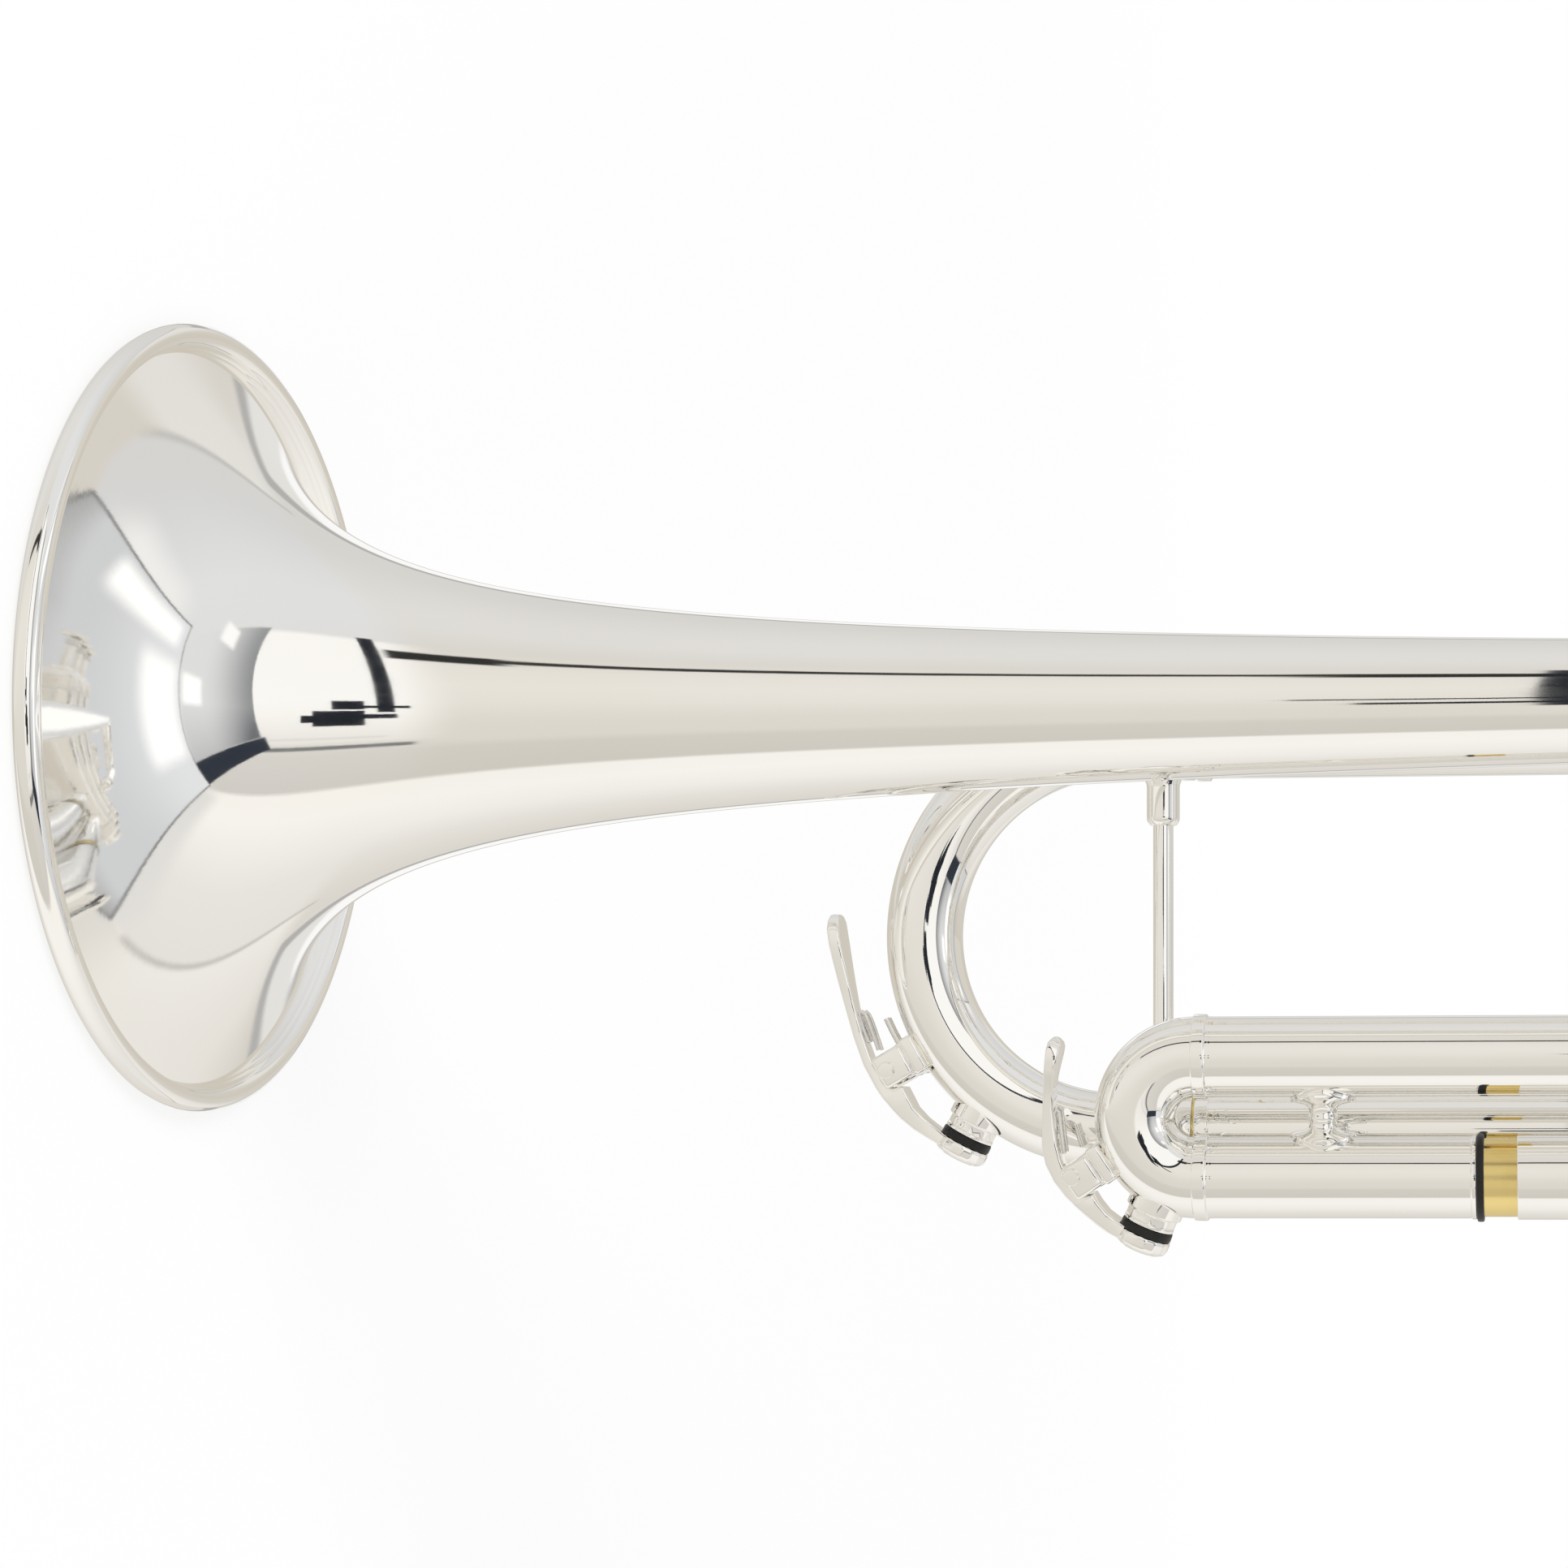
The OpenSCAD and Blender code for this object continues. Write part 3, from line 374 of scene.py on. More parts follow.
def brace(shape, start, end, along, r1, r2, outline1, outline2, post_r, bead, flare):
    """A flanged post, with a bead at its middle, between two tubes that both run along the same direction."""
    start, end = Vector(start), Vector(end)
    reach = (end - start).length
    up, down = aim(start, end - start, along), aim(end, start - end, along)
    low = [(s, h, post_r + flare) for s, h in FOOT]
    low += [(0.86, 1.15, post_r + flare * 0.62), (1, 1.6, post_r + flare * 0.25), (1, 2.3, post_r + 0.05)]
    rings = saddle_rings(up, r1, outline1, low)
    z1, z2 = r1 + FOOT_HEIGHT, reach - r2 - FOOT_HEIGHT
    middle = (z1 + z2) / 2
    span = z2 - z1
    for i in range(13):
        z = z1 + span * i / 12
        r = post_r + bead * exp(-((z - middle) / max(0.12 * span, 0.55)) ** 2)
        turns = [2 * pi * k / 48 for k in range(48)]
        rings.append([up @ V(r * cos(a), r * sin(a), z) for a in turns])
    # The far flange's rings run the other way round and start elsewhere
    fixed = []
    for ring in reversed(saddle_rings(down, r2, outline2, low)):
        first = rings[-1][0]
        order = list(reversed(ring))
        nearest = min(range(48), key=lambda k: (order[k] - first).length)
        fixed.append(order[nearest:] + order[:nearest])
    return shape.skin(rings + fixed)


# ---- places, from the CAD nodes

bell_r, stem_top = box("bell_flare")[1].x, box("bell_stem")[1].z
valve = {n: sum(box(f"valve_casing_{n}"), Vector()) / 2 for n in (1, 2, 3)}
valve_y = valve[1].y
casing_low, casing_high = box("valve_casing_1")[0].x, box("valve_casing_1")[1].x
casing_r = 9.75
outer_r, outer_bore = 6.65, 6.3  # fixed outer tubes
leg_r, leg_bore = 6.2, 5.83  # the slides' brass inner tubes
low3, high3 = box("third_sleeves")
third_r = 6.45
third_top = low3.x + 6.9
third_low = high3.x - 6.9
third_mid = (third_top + third_low) / 2
third_bow_z = low3.z
tuning_z = 139.2
lead = V(4.5, 41, 0)
tuning_low = V(69.066, 35.5, 0)
tuning_mid = (lead + tuning_low) / 2
tuning_dir = (tuning_low - lead).normalized()
tuning_r = bow_r = 32.4
crook_r = 10  # bows of the first and second slides
tail = V(64.473, 6.5, 0)
first_x = (26.5, 46.5)
second_x = (48.0, 68.0)

# ---- bell

bell_d, stem_d, bell_len = 123, 14.4, 388


def flare(z):
    """The bell's outer radius at a height, on the same curve as in the CAD."""
    bent = lambda h: h - 4 + 8.14 * exp(-h / 12)
    power = log(bell_d / stem_d) / log(bent(bell_len) / bent(0))
    return bell_d / 2 * (bent(z) / bent(0)) ** -power


def make_bell():
    """One closed skin: down the outside, around the bead at the rim, and up the inside."""
    bead = 1.9
    bead_r, bead_z = bell_r - bead, bead
    wall = 0.55
    first, rest, crowding = 0.8, 387.2, 2.3  # heights lie closer together near the rim
    heights = [first + rest * (i / 150) ** crowding for i in range(150, -1, -1)]
    outer = [(flare(z), z) for z in heights]
    outer = [p for p in outer if hypot(p[0] - bead_r, p[1] - bead_z) > bead + 0.02]
    r, z = outer[-1]
    start = degrees(atan2(z - bead_z, r - bead_r)) % 360
    ring = []
    for i in range(1, 33):
        a = radians(start - (start + 150) * i / 32)
        ring.append((bead_r + bead * cos(a), max(0.0, bead_z + bead * sin(a))))
    inner = []
    for z in reversed(heights):
        m = (flare(z + 0.01) - flare(z - 0.01)) / 0.02
        n = sqrt(1 + m * m)
        p = (flare(z) - wall / n, min(stem_top, z + wall * m / n))
        if hypot(p[0] - bead_r, p[1] - bead_z) > bead + 0.02 and p[0] < ring[-1][0]:
            inner.append(p)
    Shape().lathe(Matrix.Identity(4), outer + ring + inner, True, 224).done(
        "bell_shell", "horn", "silver_plate", "bell_flare", "bell_stem", "rim_wire", angle=50
    )


make_bell()


def make_bell_bow():
    s = Shape()
    elbow = 10
    d = tail.normalized()
    mid = tail / 2
    top = arc(V(mid.x, mid.y, stem_top), -d, Z, bow_r, 0, 180, 64)
    z_end = valve[1].z + elbow
    down = [V(tail.x, tail.y, stem_top - (stem_top - z_end) * i / 24) for i in range(1, 25)]
    turn = arc(V(tail.x, tail.y + elbow, z_end), -Y, -Z, elbow, 0, 90, 20)[1:]
    path = [V(0, 0, stem_top - 0.5)] + top + down + turn + [V(tail.x, valve_y - 6, z_end - elbow)]
    half = pi * bow_r
    total = half + (stem_top - z_end) + 22

    def narrowing(share):
        gone = share * total - half
        return 7.2 if gone < 0 else max(6.3, 7.2 - 0.9 * gone / (stem_top - z_end))

    s.pipe(path, narrowing, 56)
    collar(s, aim(V(0, 0, stem_top - 2.5), Z), 7.18, 0.42, 3.2)
    collar(s, aim(V(tail.x, tail.y, z_end + 3), Z), 6.35, 0.5, 2.6)
    collar(s, aim(V(tail.x, valve_y - 11.3, z_end - elbow), Y), 6.32, 0.55, 2)
    s.done("bell_bow_tube", "horn", "silver_plate", "bell_bow")


make_bell_bow()

# ---- leadpipe and mouthpiece

def make_leadpipe():
    s = Shape()
    s.lathe(aim(lead + Z * 255.5, Z), rounded(
        [(6.4, 0), (6.4, 1), (5.15, 204.5), (4.6, 204.5), (5.85, 0)], [0, 0, 0.2, 0, 0], 2), True, 64)
    collar(s, aim(lead + Z * 252, Z), 6.65, 0.55, 5.5)
    s.done("leadpipe_tube", "horn", "silver_plate", "leadpipe")
    r = Shape()
    profile = rounded([
        (5.2, 0), (5.9, 0.2), (6.6, 5), (6.6, 24), (7.1, 25), (7.1, 26.2), (6.6, 26.8), (6.6, 27.4),
        (7.1, 28), (7.1, 29.2), (6.75, 29.8), (6.9, 31.2), (6.6, 32), (5.53, 32), (5.1, 9),
    ], 0.35, 3)
    r.lathe(aim(lead + Z * box("mouthpiece_receiver")[0].z, Z), profile, True, 72)
    r.done("receiver_barrel", "horn", "silver_plate", "mouthpiece_receiver")


make_leadpipe()


def make_mouthpiece():
    low, high = box("mouthpiece")
    top, rim = high.z - low.z, (high.x - low.x) / 2
    points = [(4.3, 0), (4.75, 0.3), (5.5, 24), (5.75, 29), (5.7, 30)]
    points += [
        (5.1, 33), (4.65, 37), (4.5, 42), (4.75, 48), (5.4, 54), (6.3, 58), (7.4, 60.5), (7.55, 61.5), (7.35, 62.4),
    ]
    for a in range(8, 91, 8):
        t = radians(a)
        points.append((7.4 + (rim - 8.4) * sin(t), top - 10 - 14.6 * cos(t)))
    points += [(rim - 1.1, top - 8.6), (rim - 1.3, top - 5), (rim - 0.6, top - 4)]
    for a in range(-40, 100, 10):
        t = radians(a)
        points.append((rim - 2.4 + 2.4 * cos(t), top - 2.4 + 2.4 * sin(t)))
    points += [(9.4, top - 0.35), (8.7, top - 1.1)]
    for a in range(84, 4, -8):
        t = radians(a)
        points.append((1.85 + 6.5 * sin(t), top - 1.4 - 11.8 * cos(t)))
    points += [(1.85, top - 15), (1.85, top - 20), (3.6, 0)]
    Shape().lathe(aim(lead + Z * low.z, Z), points, True, 112).done(
        "mouthpiece_body", "mouthpiece", "silver_plate", "mouthpiece", angle=40
    )


make_mouthpiece()

# ---- braces, hook, rings

def make_bell_braces():
    s = Shape()
    for z, pipe_r in ((232, 6.65), (372, 5.68)):
        brace(s, V(0, 0, z), lead + Z * z, Z, flare(z), pipe_r, boat(6, 7.5), boat(5, 6.5), 2.0, 1.1, 1.4)
    s.done("bell_brace_pair", "horn", "silver_plate", "bell_braces")


make_bell_braces()


def band(width, thick):
    """A strip's rounded section: thickness along the normal, width across."""
    t, w = thick / 2, width / 2
    return [(p.x, p.y) for p in rounded([(-t, -w), (t, -w), (t, w), (-t, w)], thick * 0.48, 3)]


def make_hook():
    s = Shape()
    centre = V(-13.65, lead.y, 243)
    path = arc(centre, X, Z, 9.8, -2, 290, 90)
    s.pipe(path, 1, section=lambda t: band(7 - 2.2 * max(0, t - 0.7) / 0.3, 1.6))
    s.skin(saddle_rings(aim(lead + Z * centre.z, -X, Z), outer_r, boat(4.5, 6.5), [
        (0, -0.3, 3), (0, 0.4, 3), (0.05, 0.7, 3), (0.2, 0.85, 2.8), (0.6, 1.1, 2.6), (1, 2.0, 2.2)]))
    s.done("finger_hook_band", "horn", "silver_plate", "finger_hook")


make_hook()


# The flange under the finger ring and the thumb saddle
STRIP_FOOT = [(0, -0.3, 2.2), (0, 0.45, 2.2), (0.05, 0.75, 2.2), (0.25, 0.9, 2), (0.7, 1.1, 1.8)]


def make_finger_ring():
    s = Shape()
    centre = V(36.75, valve_y, 227.5)
    ring_r = 10.75
    rings = []
    section = band(4.5, 1.5)
    for i in range(96):
        a = 2 * pi * i / 96
        u = cos(a) * X + sin(a) * Z
        rings.append([centre + u * (ring_r + p) + Y * q for p, q in section])
    s.skin(rings, loop=True)
    s.skin(saddle_rings(aim(V(third_top, valve_y, centre.z), -X, Z), third_r, boat(4, 5.5), [
        *STRIP_FOOT, (1, 1.5, 1.6)]))
    s.done("finger_ring_band", "third_slide", "silver_plate", "finger_ring")


make_finger_ring()

# ---- valves

CAP_R, CAP_TEETH, TOOTH_DEPTH = 11.15, 72, 0.22


def knurled(shape, place, profile, first, last):
    """A turned cap. Of its rows at the full radius, those from first to last get teeth."""
    rows = [i for i, p in enumerate(profile) if p[0] > CAP_R - 0.05]

    def wave(i, a):
        if rows[first] <= i <= rows[last]:
            return TOOTH_DEPTH * (abs((a * CAP_TEETH / (2 * pi)) % 1 - 0.5) * 2 - 1)
        return 0

    shape.lathe(place, profile, True, CAP_TEETH * 4, wave)


def make_valves():
    caps, floors = Shape(), Shape()
    for n in (1, 2, 3):
        z = valve[n].z
        at = lambda x: aim(V(x, valve_y, z), X)
        s = Shape()
        length = casing_high - casing_low
        s.lathe(at(casing_low), rounded([
            (casing_r, 0), (casing_r, 8.1), (10.35, 8.1), (10.35, 9.4), (casing_r, 9.6), (casing_r, length - 9.6),
            (10.35, length - 9.4), (10.35, length - 8.1), (casing_r, length - 8.1), (casing_r, length),
            (8.5, length), (8.5, 0),
        ], [0.1, 0.1, 0.3, 0.3, 0.3, 0.3, 0.3, 0.3, 0.1, 0.1, 0, 0], 3), True, 96)
        s.done(f"casing_{n}", "horn", "silver_plate", f"valve_casing_{n}")
        low, high = box("top_caps")
        knurled(caps, at(low.x), rounded([
            (2.8, 0.2), (3.4, 0), (5.3, 0), (5.4, 2.2), (8.4, 2.9), (10.7, 6.1), (CAP_R, 7.1), (CAP_R, 8.2),
            (CAP_R, 15.2), (10.9, 16), (9.8, 16), (9.8, 9), (3, 4), (2.8, 3),
        ], [0.1, 0.3, 0.3, 0.5, 0.6, 0.6, 0, 0, 0, 0.2, 0, 0, 0, 0], 3), 1, -1)
        low, high = box("bottom_caps")
        h = high.x - low.x
        knurled(floors, at(low.x), rounded([
            (9.8, 0), (10.9, 0), (CAP_R, 0.8), (CAP_R, 7.8), (CAP_R, 8.8), (10.5, 10), (9.8, 11), (9.7, h - 3),
            (8.6, h - 0.6), (7.6, h), (3.2, h), (2.6, h - 0.8), (2, h - 0.8), (2, h - 1.5), (8.65, h - 1.5), (9.8, 8.5),
        ], [0, 0.2, 0, 0, 0, 0.4, 0.4, 0.5, 0.4, 0.3, 0.3, 0.2, 0.1, 0, 0, 0], 3), 0, -2)
        body = f"valve_{n}"
        low, high = box(f"valve_stem_{n}")
        length = high.x - low.x
        Shape().lathe(at(low.x), rounded([(2.2, 0), (2.4, 0.3), (2.4, length - 0.2), (2.2, length)], 0.1, 2)
                      ).done(f"stem_{n}", body, "silver_plate", f"valve_stem_{n}")
        low, high = box(f"finger_button_{n}")
        r = (high.z - low.z) / 2
        Shape().lathe(at(low.x), rounded([
            (r - 1.55, 0.25), (r - 1.2, 0), (r - 0.4, 0), (r, 0.5), (r, 1.5), (r - 0.6, 2.3), (r - 2.4, 2.9),
            (4.9, 3.2), (3.7, 4.1), (3.4, 5.5), (2.4, 5.5), (2.4, 3), (r - 1.55, 1.2),
        ], [0.1, 0.2, 0.3, 0.3, 0.4, 0.5, 0.5, 0.6, 0.5, 0.2, 0, 0, 0], 3), True, 96
        ).done(f"button_{n}", body, "silver_plate", f"finger_button_{n}")
        low, high = box(f"pearl_{n}")
        r = (high.z - low.z) / 2
        dome = [(0.01, 0)] + [(r * sin(a), 0.42 - 0.42 * cos(a)) for a in [0.2, 0.5, 0.8, 1.1, 1.35]]
        Shape().lathe(at(low.x), dome + [(r, 0.5), (r, 1.6), (0.01, 1.6)]
                      ).done(f"pearl_disc_{n}", body, "pearl", f"pearl_{n}")
        low, high = box(f"valve_felts_{n}")
        t = Shape()
        t.lathe(at(low.x), rounded([(2.45, 0), (4.9, 0), (4.9, 3), (2.45, 3)], [0.1, 0.7, 0.7, 0.1], 4), True)
        t.lathe(at(high.x - 2.5), rounded([(2.45, 0), (6.6, 0), (6.6, 2.5), (2.45, 2.5)], 0.3, 3), True)
        t.done(f"felts_{n}", body, "felt", f"valve_felts_{n}")
        low, high = box(f"valve_spring_{n}")
        wire, coil_r, steps = 0.45, 4.95, 24
        last = 8 * steps  # eight turns
        coil = []
        for i in range(last + 1):
            a = 2 * pi * i / steps
            x = low.x + wire + (high.x - low.x - 2 * wire) * i / last
            coil.append(V(x, valve_y + coil_r * cos(a), z + coil_r * sin(a)))
        spring = Shape().pipe(coil, wire, 8).done(f"spring_{n}", "horn", "spring_steel", f"valve_spring_{n}")
        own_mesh(spring)
    caps.done("top_cap_set", "horn", "silver_plate", "top_caps", angle=28)
    floors.done("bottom_cap_set", "horn", "silver_plate", "bottom_caps", angle=28)


make_valves()


def make_crossovers():
    s = Shape()
    for n, x in ((3, 69.066), (2, 64.473)):
        a, b = V(x, valve_y, valve[n].z), V(x, valve_y, valve[n - 1].z)
        s.pipe([a + Z * 7, a + Z * 10, b - Z * 10, b - Z * 7], outer_r, 56)
        mid = (a + b) / 2
        collar(s, aim(mid - Z * 1.6, Z), 6.6, 0.6, 3.2)
    s.done("crossover_pair", "horn", "silver_plate", "crossover_tubes")


make_crossovers()

# ---- fixed outer tubes

def tube(s, start, end, r=outer_r, bore=outer_bore):
    s.lathe(aim(start, end - start), hollow(r, bore, (end - start).length, 0.22), True, 64)


def inner_tube(s, start, end):
    tube(s, start, end, leg_r, leg_bore)


def make_outer_tubes():
    s = Shape()
    z0 = box("tuning_outer_tubes")[0].z
    tube(s, lead + Z * z0, lead + Z * 256)
    tube(s, tuning_low + Z * z0, tuning_low + Z * 260)
    for leg in (lead, tuning_low):
        lip = rounded([(6.6, 0), (7.1, 0), (7.1, 2.3), (6.6, 2.3)], [0, 0.35, 0.35, 0], 4)
        s.lathe(aim(leg + Z * z0, Z), lip, True)
    elbow = 10
    turn = arc(tuning_low + V(0, -elbow, 260), Y, Z, elbow, 0, 90, 22)
    s.pipe([tuning_low + Z * 257] + turn + [V(tuning_low.x, valve_y + 6, 270)], 6.62, 56)
    collar(s, aim(tuning_low + Z * 256, Z), 6.6, 0.55, 2.6)
    collar(s, aim(V(tuning_low.x, valve_y + 9.4, 270), Y), 6.6, 0.55, 2.2)
    s.done("tuning_outer_pair", "horn", "silver_plate", "tuning_outer_tubes")

    s = Shape()
    end = valve[3].z - 7
    for x, z in ((third_top, 239.39), (third_low, 205.09)):
        tube(s, V(x, valve_y, z), V(x, valve_y, end))
        collar(s, aim(V(x, valve_y, 257.4), Z), 6.6, 0.5, 2)
    s.done("third_outer_pair", "horn", "silver_plate", "third_outer_tubes")

    s = Shape()
    far = box("first_outer_tubes")[1].z
    for x in first_x:
        tube(s, V(x, valve_y, far), V(x, valve_y, valve[1].z + 7))
        collar(s, aim(V(x, valve_y, valve[1].z + 9.6), Z), 6.6, 0.5, 2)
        collar(s, aim(V(x, valve_y, far - 2.3), Z), 6.6, 0.45, 2.2)
    s.done("first_outer_pair", "horn", "silver_plate", "first_outer_tubes")

    s = Shape()
    far = box("second_outer_tubes")[1].y
    for x in second_x:
        tube(s, V(x, far, valve[2].z), V(x, valve_y + 7, valve[2].z))
        collar(s, aim(V(x, valve_y + 9.6, valve[2].z), Y), 6.6, 0.5, 2)
        collar(s, aim(V(x, far - 2.3, valve[2].z), Y), 6.6, 0.45, 2.2)
    s.done("second_outer_pair", "horn", "silver_plate", "second_outer_tubes")


make_outer_tubes()

# ---- tuning slide

def polar(centre, lean):
    """Points around a bow's centre: the angle runs from -Z towards the bow's far leg."""
    def point(angle, r, y=0.0):
        a = radians(angle)
        return centre + lean * (r * sin(a)) - Z * (r * cos(a)) + Z.cross(lean) * y
    return point


tuning_at = polar(tuning_mid + Z * tuning_z, tuning_dir)
third_at = polar(V(third_mid, valve_y, third_bow_z), X)


def make_tuning_slide():
    s = Shape()
    curve = [tuning_at(-90 + 180 * i / 88, tuning_r) for i in range(89)]
    s.pipe([lead + Z * (tuning_z + 0.6)] + curve + [tuning_low + Z * (tuning_z + 0.6)], 6.3, 64)
    for leg in (lead, tuning_low):
        s.lathe(aim(leg + Z * tuning_z, Z), rounded([
            (6.2, 0), (6.45, 0), (6.45, 10.2), (6.95, 10.6), (6.95, 12.9), (6.25, 12.9), (6.25, 0)
        ], [0, 0.12, 0.2, 0.3, 0.3, 0, 0], 4), True, 64)
    s.done("tuning_bow_tube", "tuning_slide", "silver_plate", "tuning_bow")
    t = Shape()
    for leg in (lead, tuning_low):
        inner_tube(t, leg + Z * (tuning_z + 1), leg + Z * 246)
    t.done("tuning_inner_pair", "tuning_slide", "raw_brass", "tuning_legs")
    b = Shape()
    rod_z = (box("tuning_brace")[0].z + box("tuning_brace")[1].z) / 2
    start, end = lead + Z * rod_z, tuning_low + Z * rod_z
    for a, way in ((start, tuning_dir), (end, -tuning_dir)):
        place = aim(a, way, Z)
        b.skin(saddle_rings(place, 6.45, boat(3.1, 3.1, 2), [
            (0, -0.3, 3), (0.2, 0.1, 3.2), (1, 0.6, 3.0), (1, 1.1, 2.8), (1, 1.6, 2.74), (1, 6.6, 2.74), (1, 7.1, 2.7),
            (1, 7.5, 2.5), (1, 7.9, 2.2), (1, 8.0, 1.7)], 40))
    b.pipe([start + tuning_dir * 12, end - tuning_dir * 12], 1.675, 40)
    b.done("tuning_brace_rod", "tuning_slide", "silver_plate", "tuning_brace")


make_tuning_slide()

# ---- third slide

def make_third_slide():
    s = Shape()
    curve = [third_at(-90 + 180 * i / 64, 9.65) for i in range(65)]
    ends = [V(x, valve_y, third_bow_z + 0.5) for x in (third_top, third_low)]
    s.pipe([ends[0]] + curve + [ends[1]], third_r, 64)
    s.done("third_bow_tube", "third_slide", "silver_plate", "third_bow")
    t = Shape()
    for x, z in ((third_top, 233.0), (third_low, 198.7)):
        t.lathe(aim(V(x, valve_y, third_bow_z), Z), rounded([
            (6.25, 0), (6.85, 0), (6.85, 2.1), (6.47, 2.3), (6.47, 2.9), (6.45, 3.1), (6.45, z - third_bow_z - 0.9),
            (6.62, z - third_bow_z - 0.7), (6.62, z - third_bow_z), (6.25, z - third_bow_z),
        ], [0, 0.3, 0.3, 0.05, 0.05, 0.05, 0.05, 0.15, 0.2, 0], 3), True, 72)
    t.done("third_sleeve_pair", "third_slide", "silver_plate", "third_sleeves")
    t = Shape()
    for x in (third_top, third_low):
        inner_tube(t, V(x, valve_y, third_bow_z + 1), V(x, valve_y, box("third_legs")[1].z))
    t.done("third_inner_pair", "third_slide", "raw_brass", "third_legs")
    t = Shape()
    z = (box("third_brace")[0].z + box("third_brace")[1].z) / 2
    flange = boat(4.6, 5.3, 1.6)
    brace(t, V(third_top, valve_y, z), V(third_low, valve_y, z), Z, third_r, third_r, flange, flange, 2.15, 0.3, 0.8)
    t.done("third_brace_post", "third_slide", "silver_plate", "third_brace")
    t = Shape()
    for x, z in ((third_top, 233.02), (third_low, 198.72)):
        ring = rounded([(6.21, 0), (6.98, 0), (6.98, 1.15), (6.21, 1.15)], [0, 0.5, 0.5, 0], 5)
        t.lathe(aim(V(x, valve_y, z), Z), ring, True)
    t.done("third_bumper_rings", "third_slide", "black_rubber", "third_bumpers")


make_third_slide()

# ---- water keys

def lever_shape(s, at, stations):
    """A lever from (angle, inner radius, outer radius, half width) stations."""
    rings = []
    for a, low, high, half in stations:
        r = min(0.5, (high - low) * 0.45, half * 0.6)
        corners = rounded([(low, -half), (high, -half), (high, half), (low, half)], r, 3)
        rings.append([at(a, c.x, c.y) for c in corners])
    return s.skin(rings)


def water_key(name, at, bow_r, levers, pin, block, nipple, body, key_body, prefix, spring):
    """A water key on a bow, in the bow's angles and radii: lever, cork, saddle, pin and spring.

    levers are lever_shape's stations, pin is (angle, radius), block (angle, tilt, lowest and highest
    radius, length) and nipple (angle, tilt). spring holds the points of its arm and of its tail."""
    phi, tilt = nipple
    up = (at(phi + tilt, 1) - at(phi + tilt, 0)).normalized()
    y = (at(0, 0, 1) - at(0, 0, 0)).normalized()
    base = at(phi, bow_r)
    s = Shape()
    lever_shape(s, at, levers)
    cup = aim(base + up * 4.2, up, y)
    facets, cup_r = 16, 4.4

    def facet(i, a):
        off = (a + pi / facets) % (2 * pi / facets) - pi / facets
        return cup_r * (cos(pi / facets) / cos(off) - 1) if i > 1 else 0

    s.lathe(cup, rounded([(3.9, 0), (4.35, 0), (4.45, 0.5), (cup_r, 1.9), (3.3, 2.7), (0.01, 2.9)],
                         [0, 0.15, 0.1, 0.5, 0.6, 0], 3, False), False, facets * 6, facet)
    hub = aim(at(*pin, -3.2), y)
    s.lathe(hub, rounded([(2.0, 0), (2.0, 6.4)], 0.2, 2, False), False, 40)
    s.done(f"{name}_lever", key_body, "silver_plate", f"{prefix}_key_lever")
    c = Shape()
    c.lathe(aim(base + up * 2.66, up, y),
            rounded([(0.01, 0), (4.25, 0), (4.3, 1.5), (0.01, 1.5)], [0, 0.35, 0.35, 0], 4, False))
    c.done(f"{name}_cork", key_body, "black_rubber", f"{prefix}_key_cork")

    f = Shape()
    b_phi, b_tilt, b_low, b_high, b_len = block
    out = (at(b_phi + b_tilt, 1) - at(b_phi + b_tilt, 0)).normalized()
    foot = aim(at(b_phi, b_low), out, y)
    f.block(foot @ Matrix.Translation((0, 0, -0.8)), (b_len + 0.9, 9.2, 2.4), 0.6, 4)
    f.block(foot @ Matrix.Translation((0, 0, 1.2)), (b_len + 0.3, 8.4, 1.5), 0.5, 4)
    for side in (-1, 1):
        f.block(foot @ Matrix.Translation((0, side * 3.95, 1.6)), (b_len, 1.5, b_high - b_low - 1.6), 0.7, 4)
    nip = aim(base, up, y)
    f.lathe(nip, rounded([
        (4.6, -2.8), (4.6, 0.35), (4.0, 0.6), (3.95, 1.9), (4.15, 2.05), (4.15, 2.6), (2.4, 2.6), (2.4, 0),
    ], [0, 0.2, 0.15, 0.1, 0.1, 0.15, 0.1, 0], 3), True, 48, lambda i, a: 0.12 * cos(8 * a) if 4 < i < 13 else 0)
    f.done(f"{name}_saddle", body, "silver_plate", f"{prefix}_key_saddle")
    p = Shape()
    p.lathe(aim(at(*pin, -4.7), y), rounded([
        (0.01, -0.35), (1.3, -0.35), (1.45, 0.1), (1.0, 0.1), (1.0, 9.3), (1.45, 9.3), (1.3, 9.75), (0.01, 9.75),
    ], [0, 0.2, 0.1, 0, 0, 0.1, 0.2, 0], 3, False), False, 36)
    p.done(f"{name}_pin", body, "silver_plate")
    arm, tail_end = Shape(), Shape()
    for off in (-1.5, 1.5):
        arm.pipe([at(a, r, off) for a, r in spring[0]], 0.3, 14)
        tail_end.pipe([at(a, r, off * 0.6) for a, r in spring[1]], 0.48, 16)
    arm.done(f"{name}_spring_arm", key_body, "spring_steel")
    tail_end.done(f"{name}_spring", body, "spring_steel", f"{prefix}_key_spring")


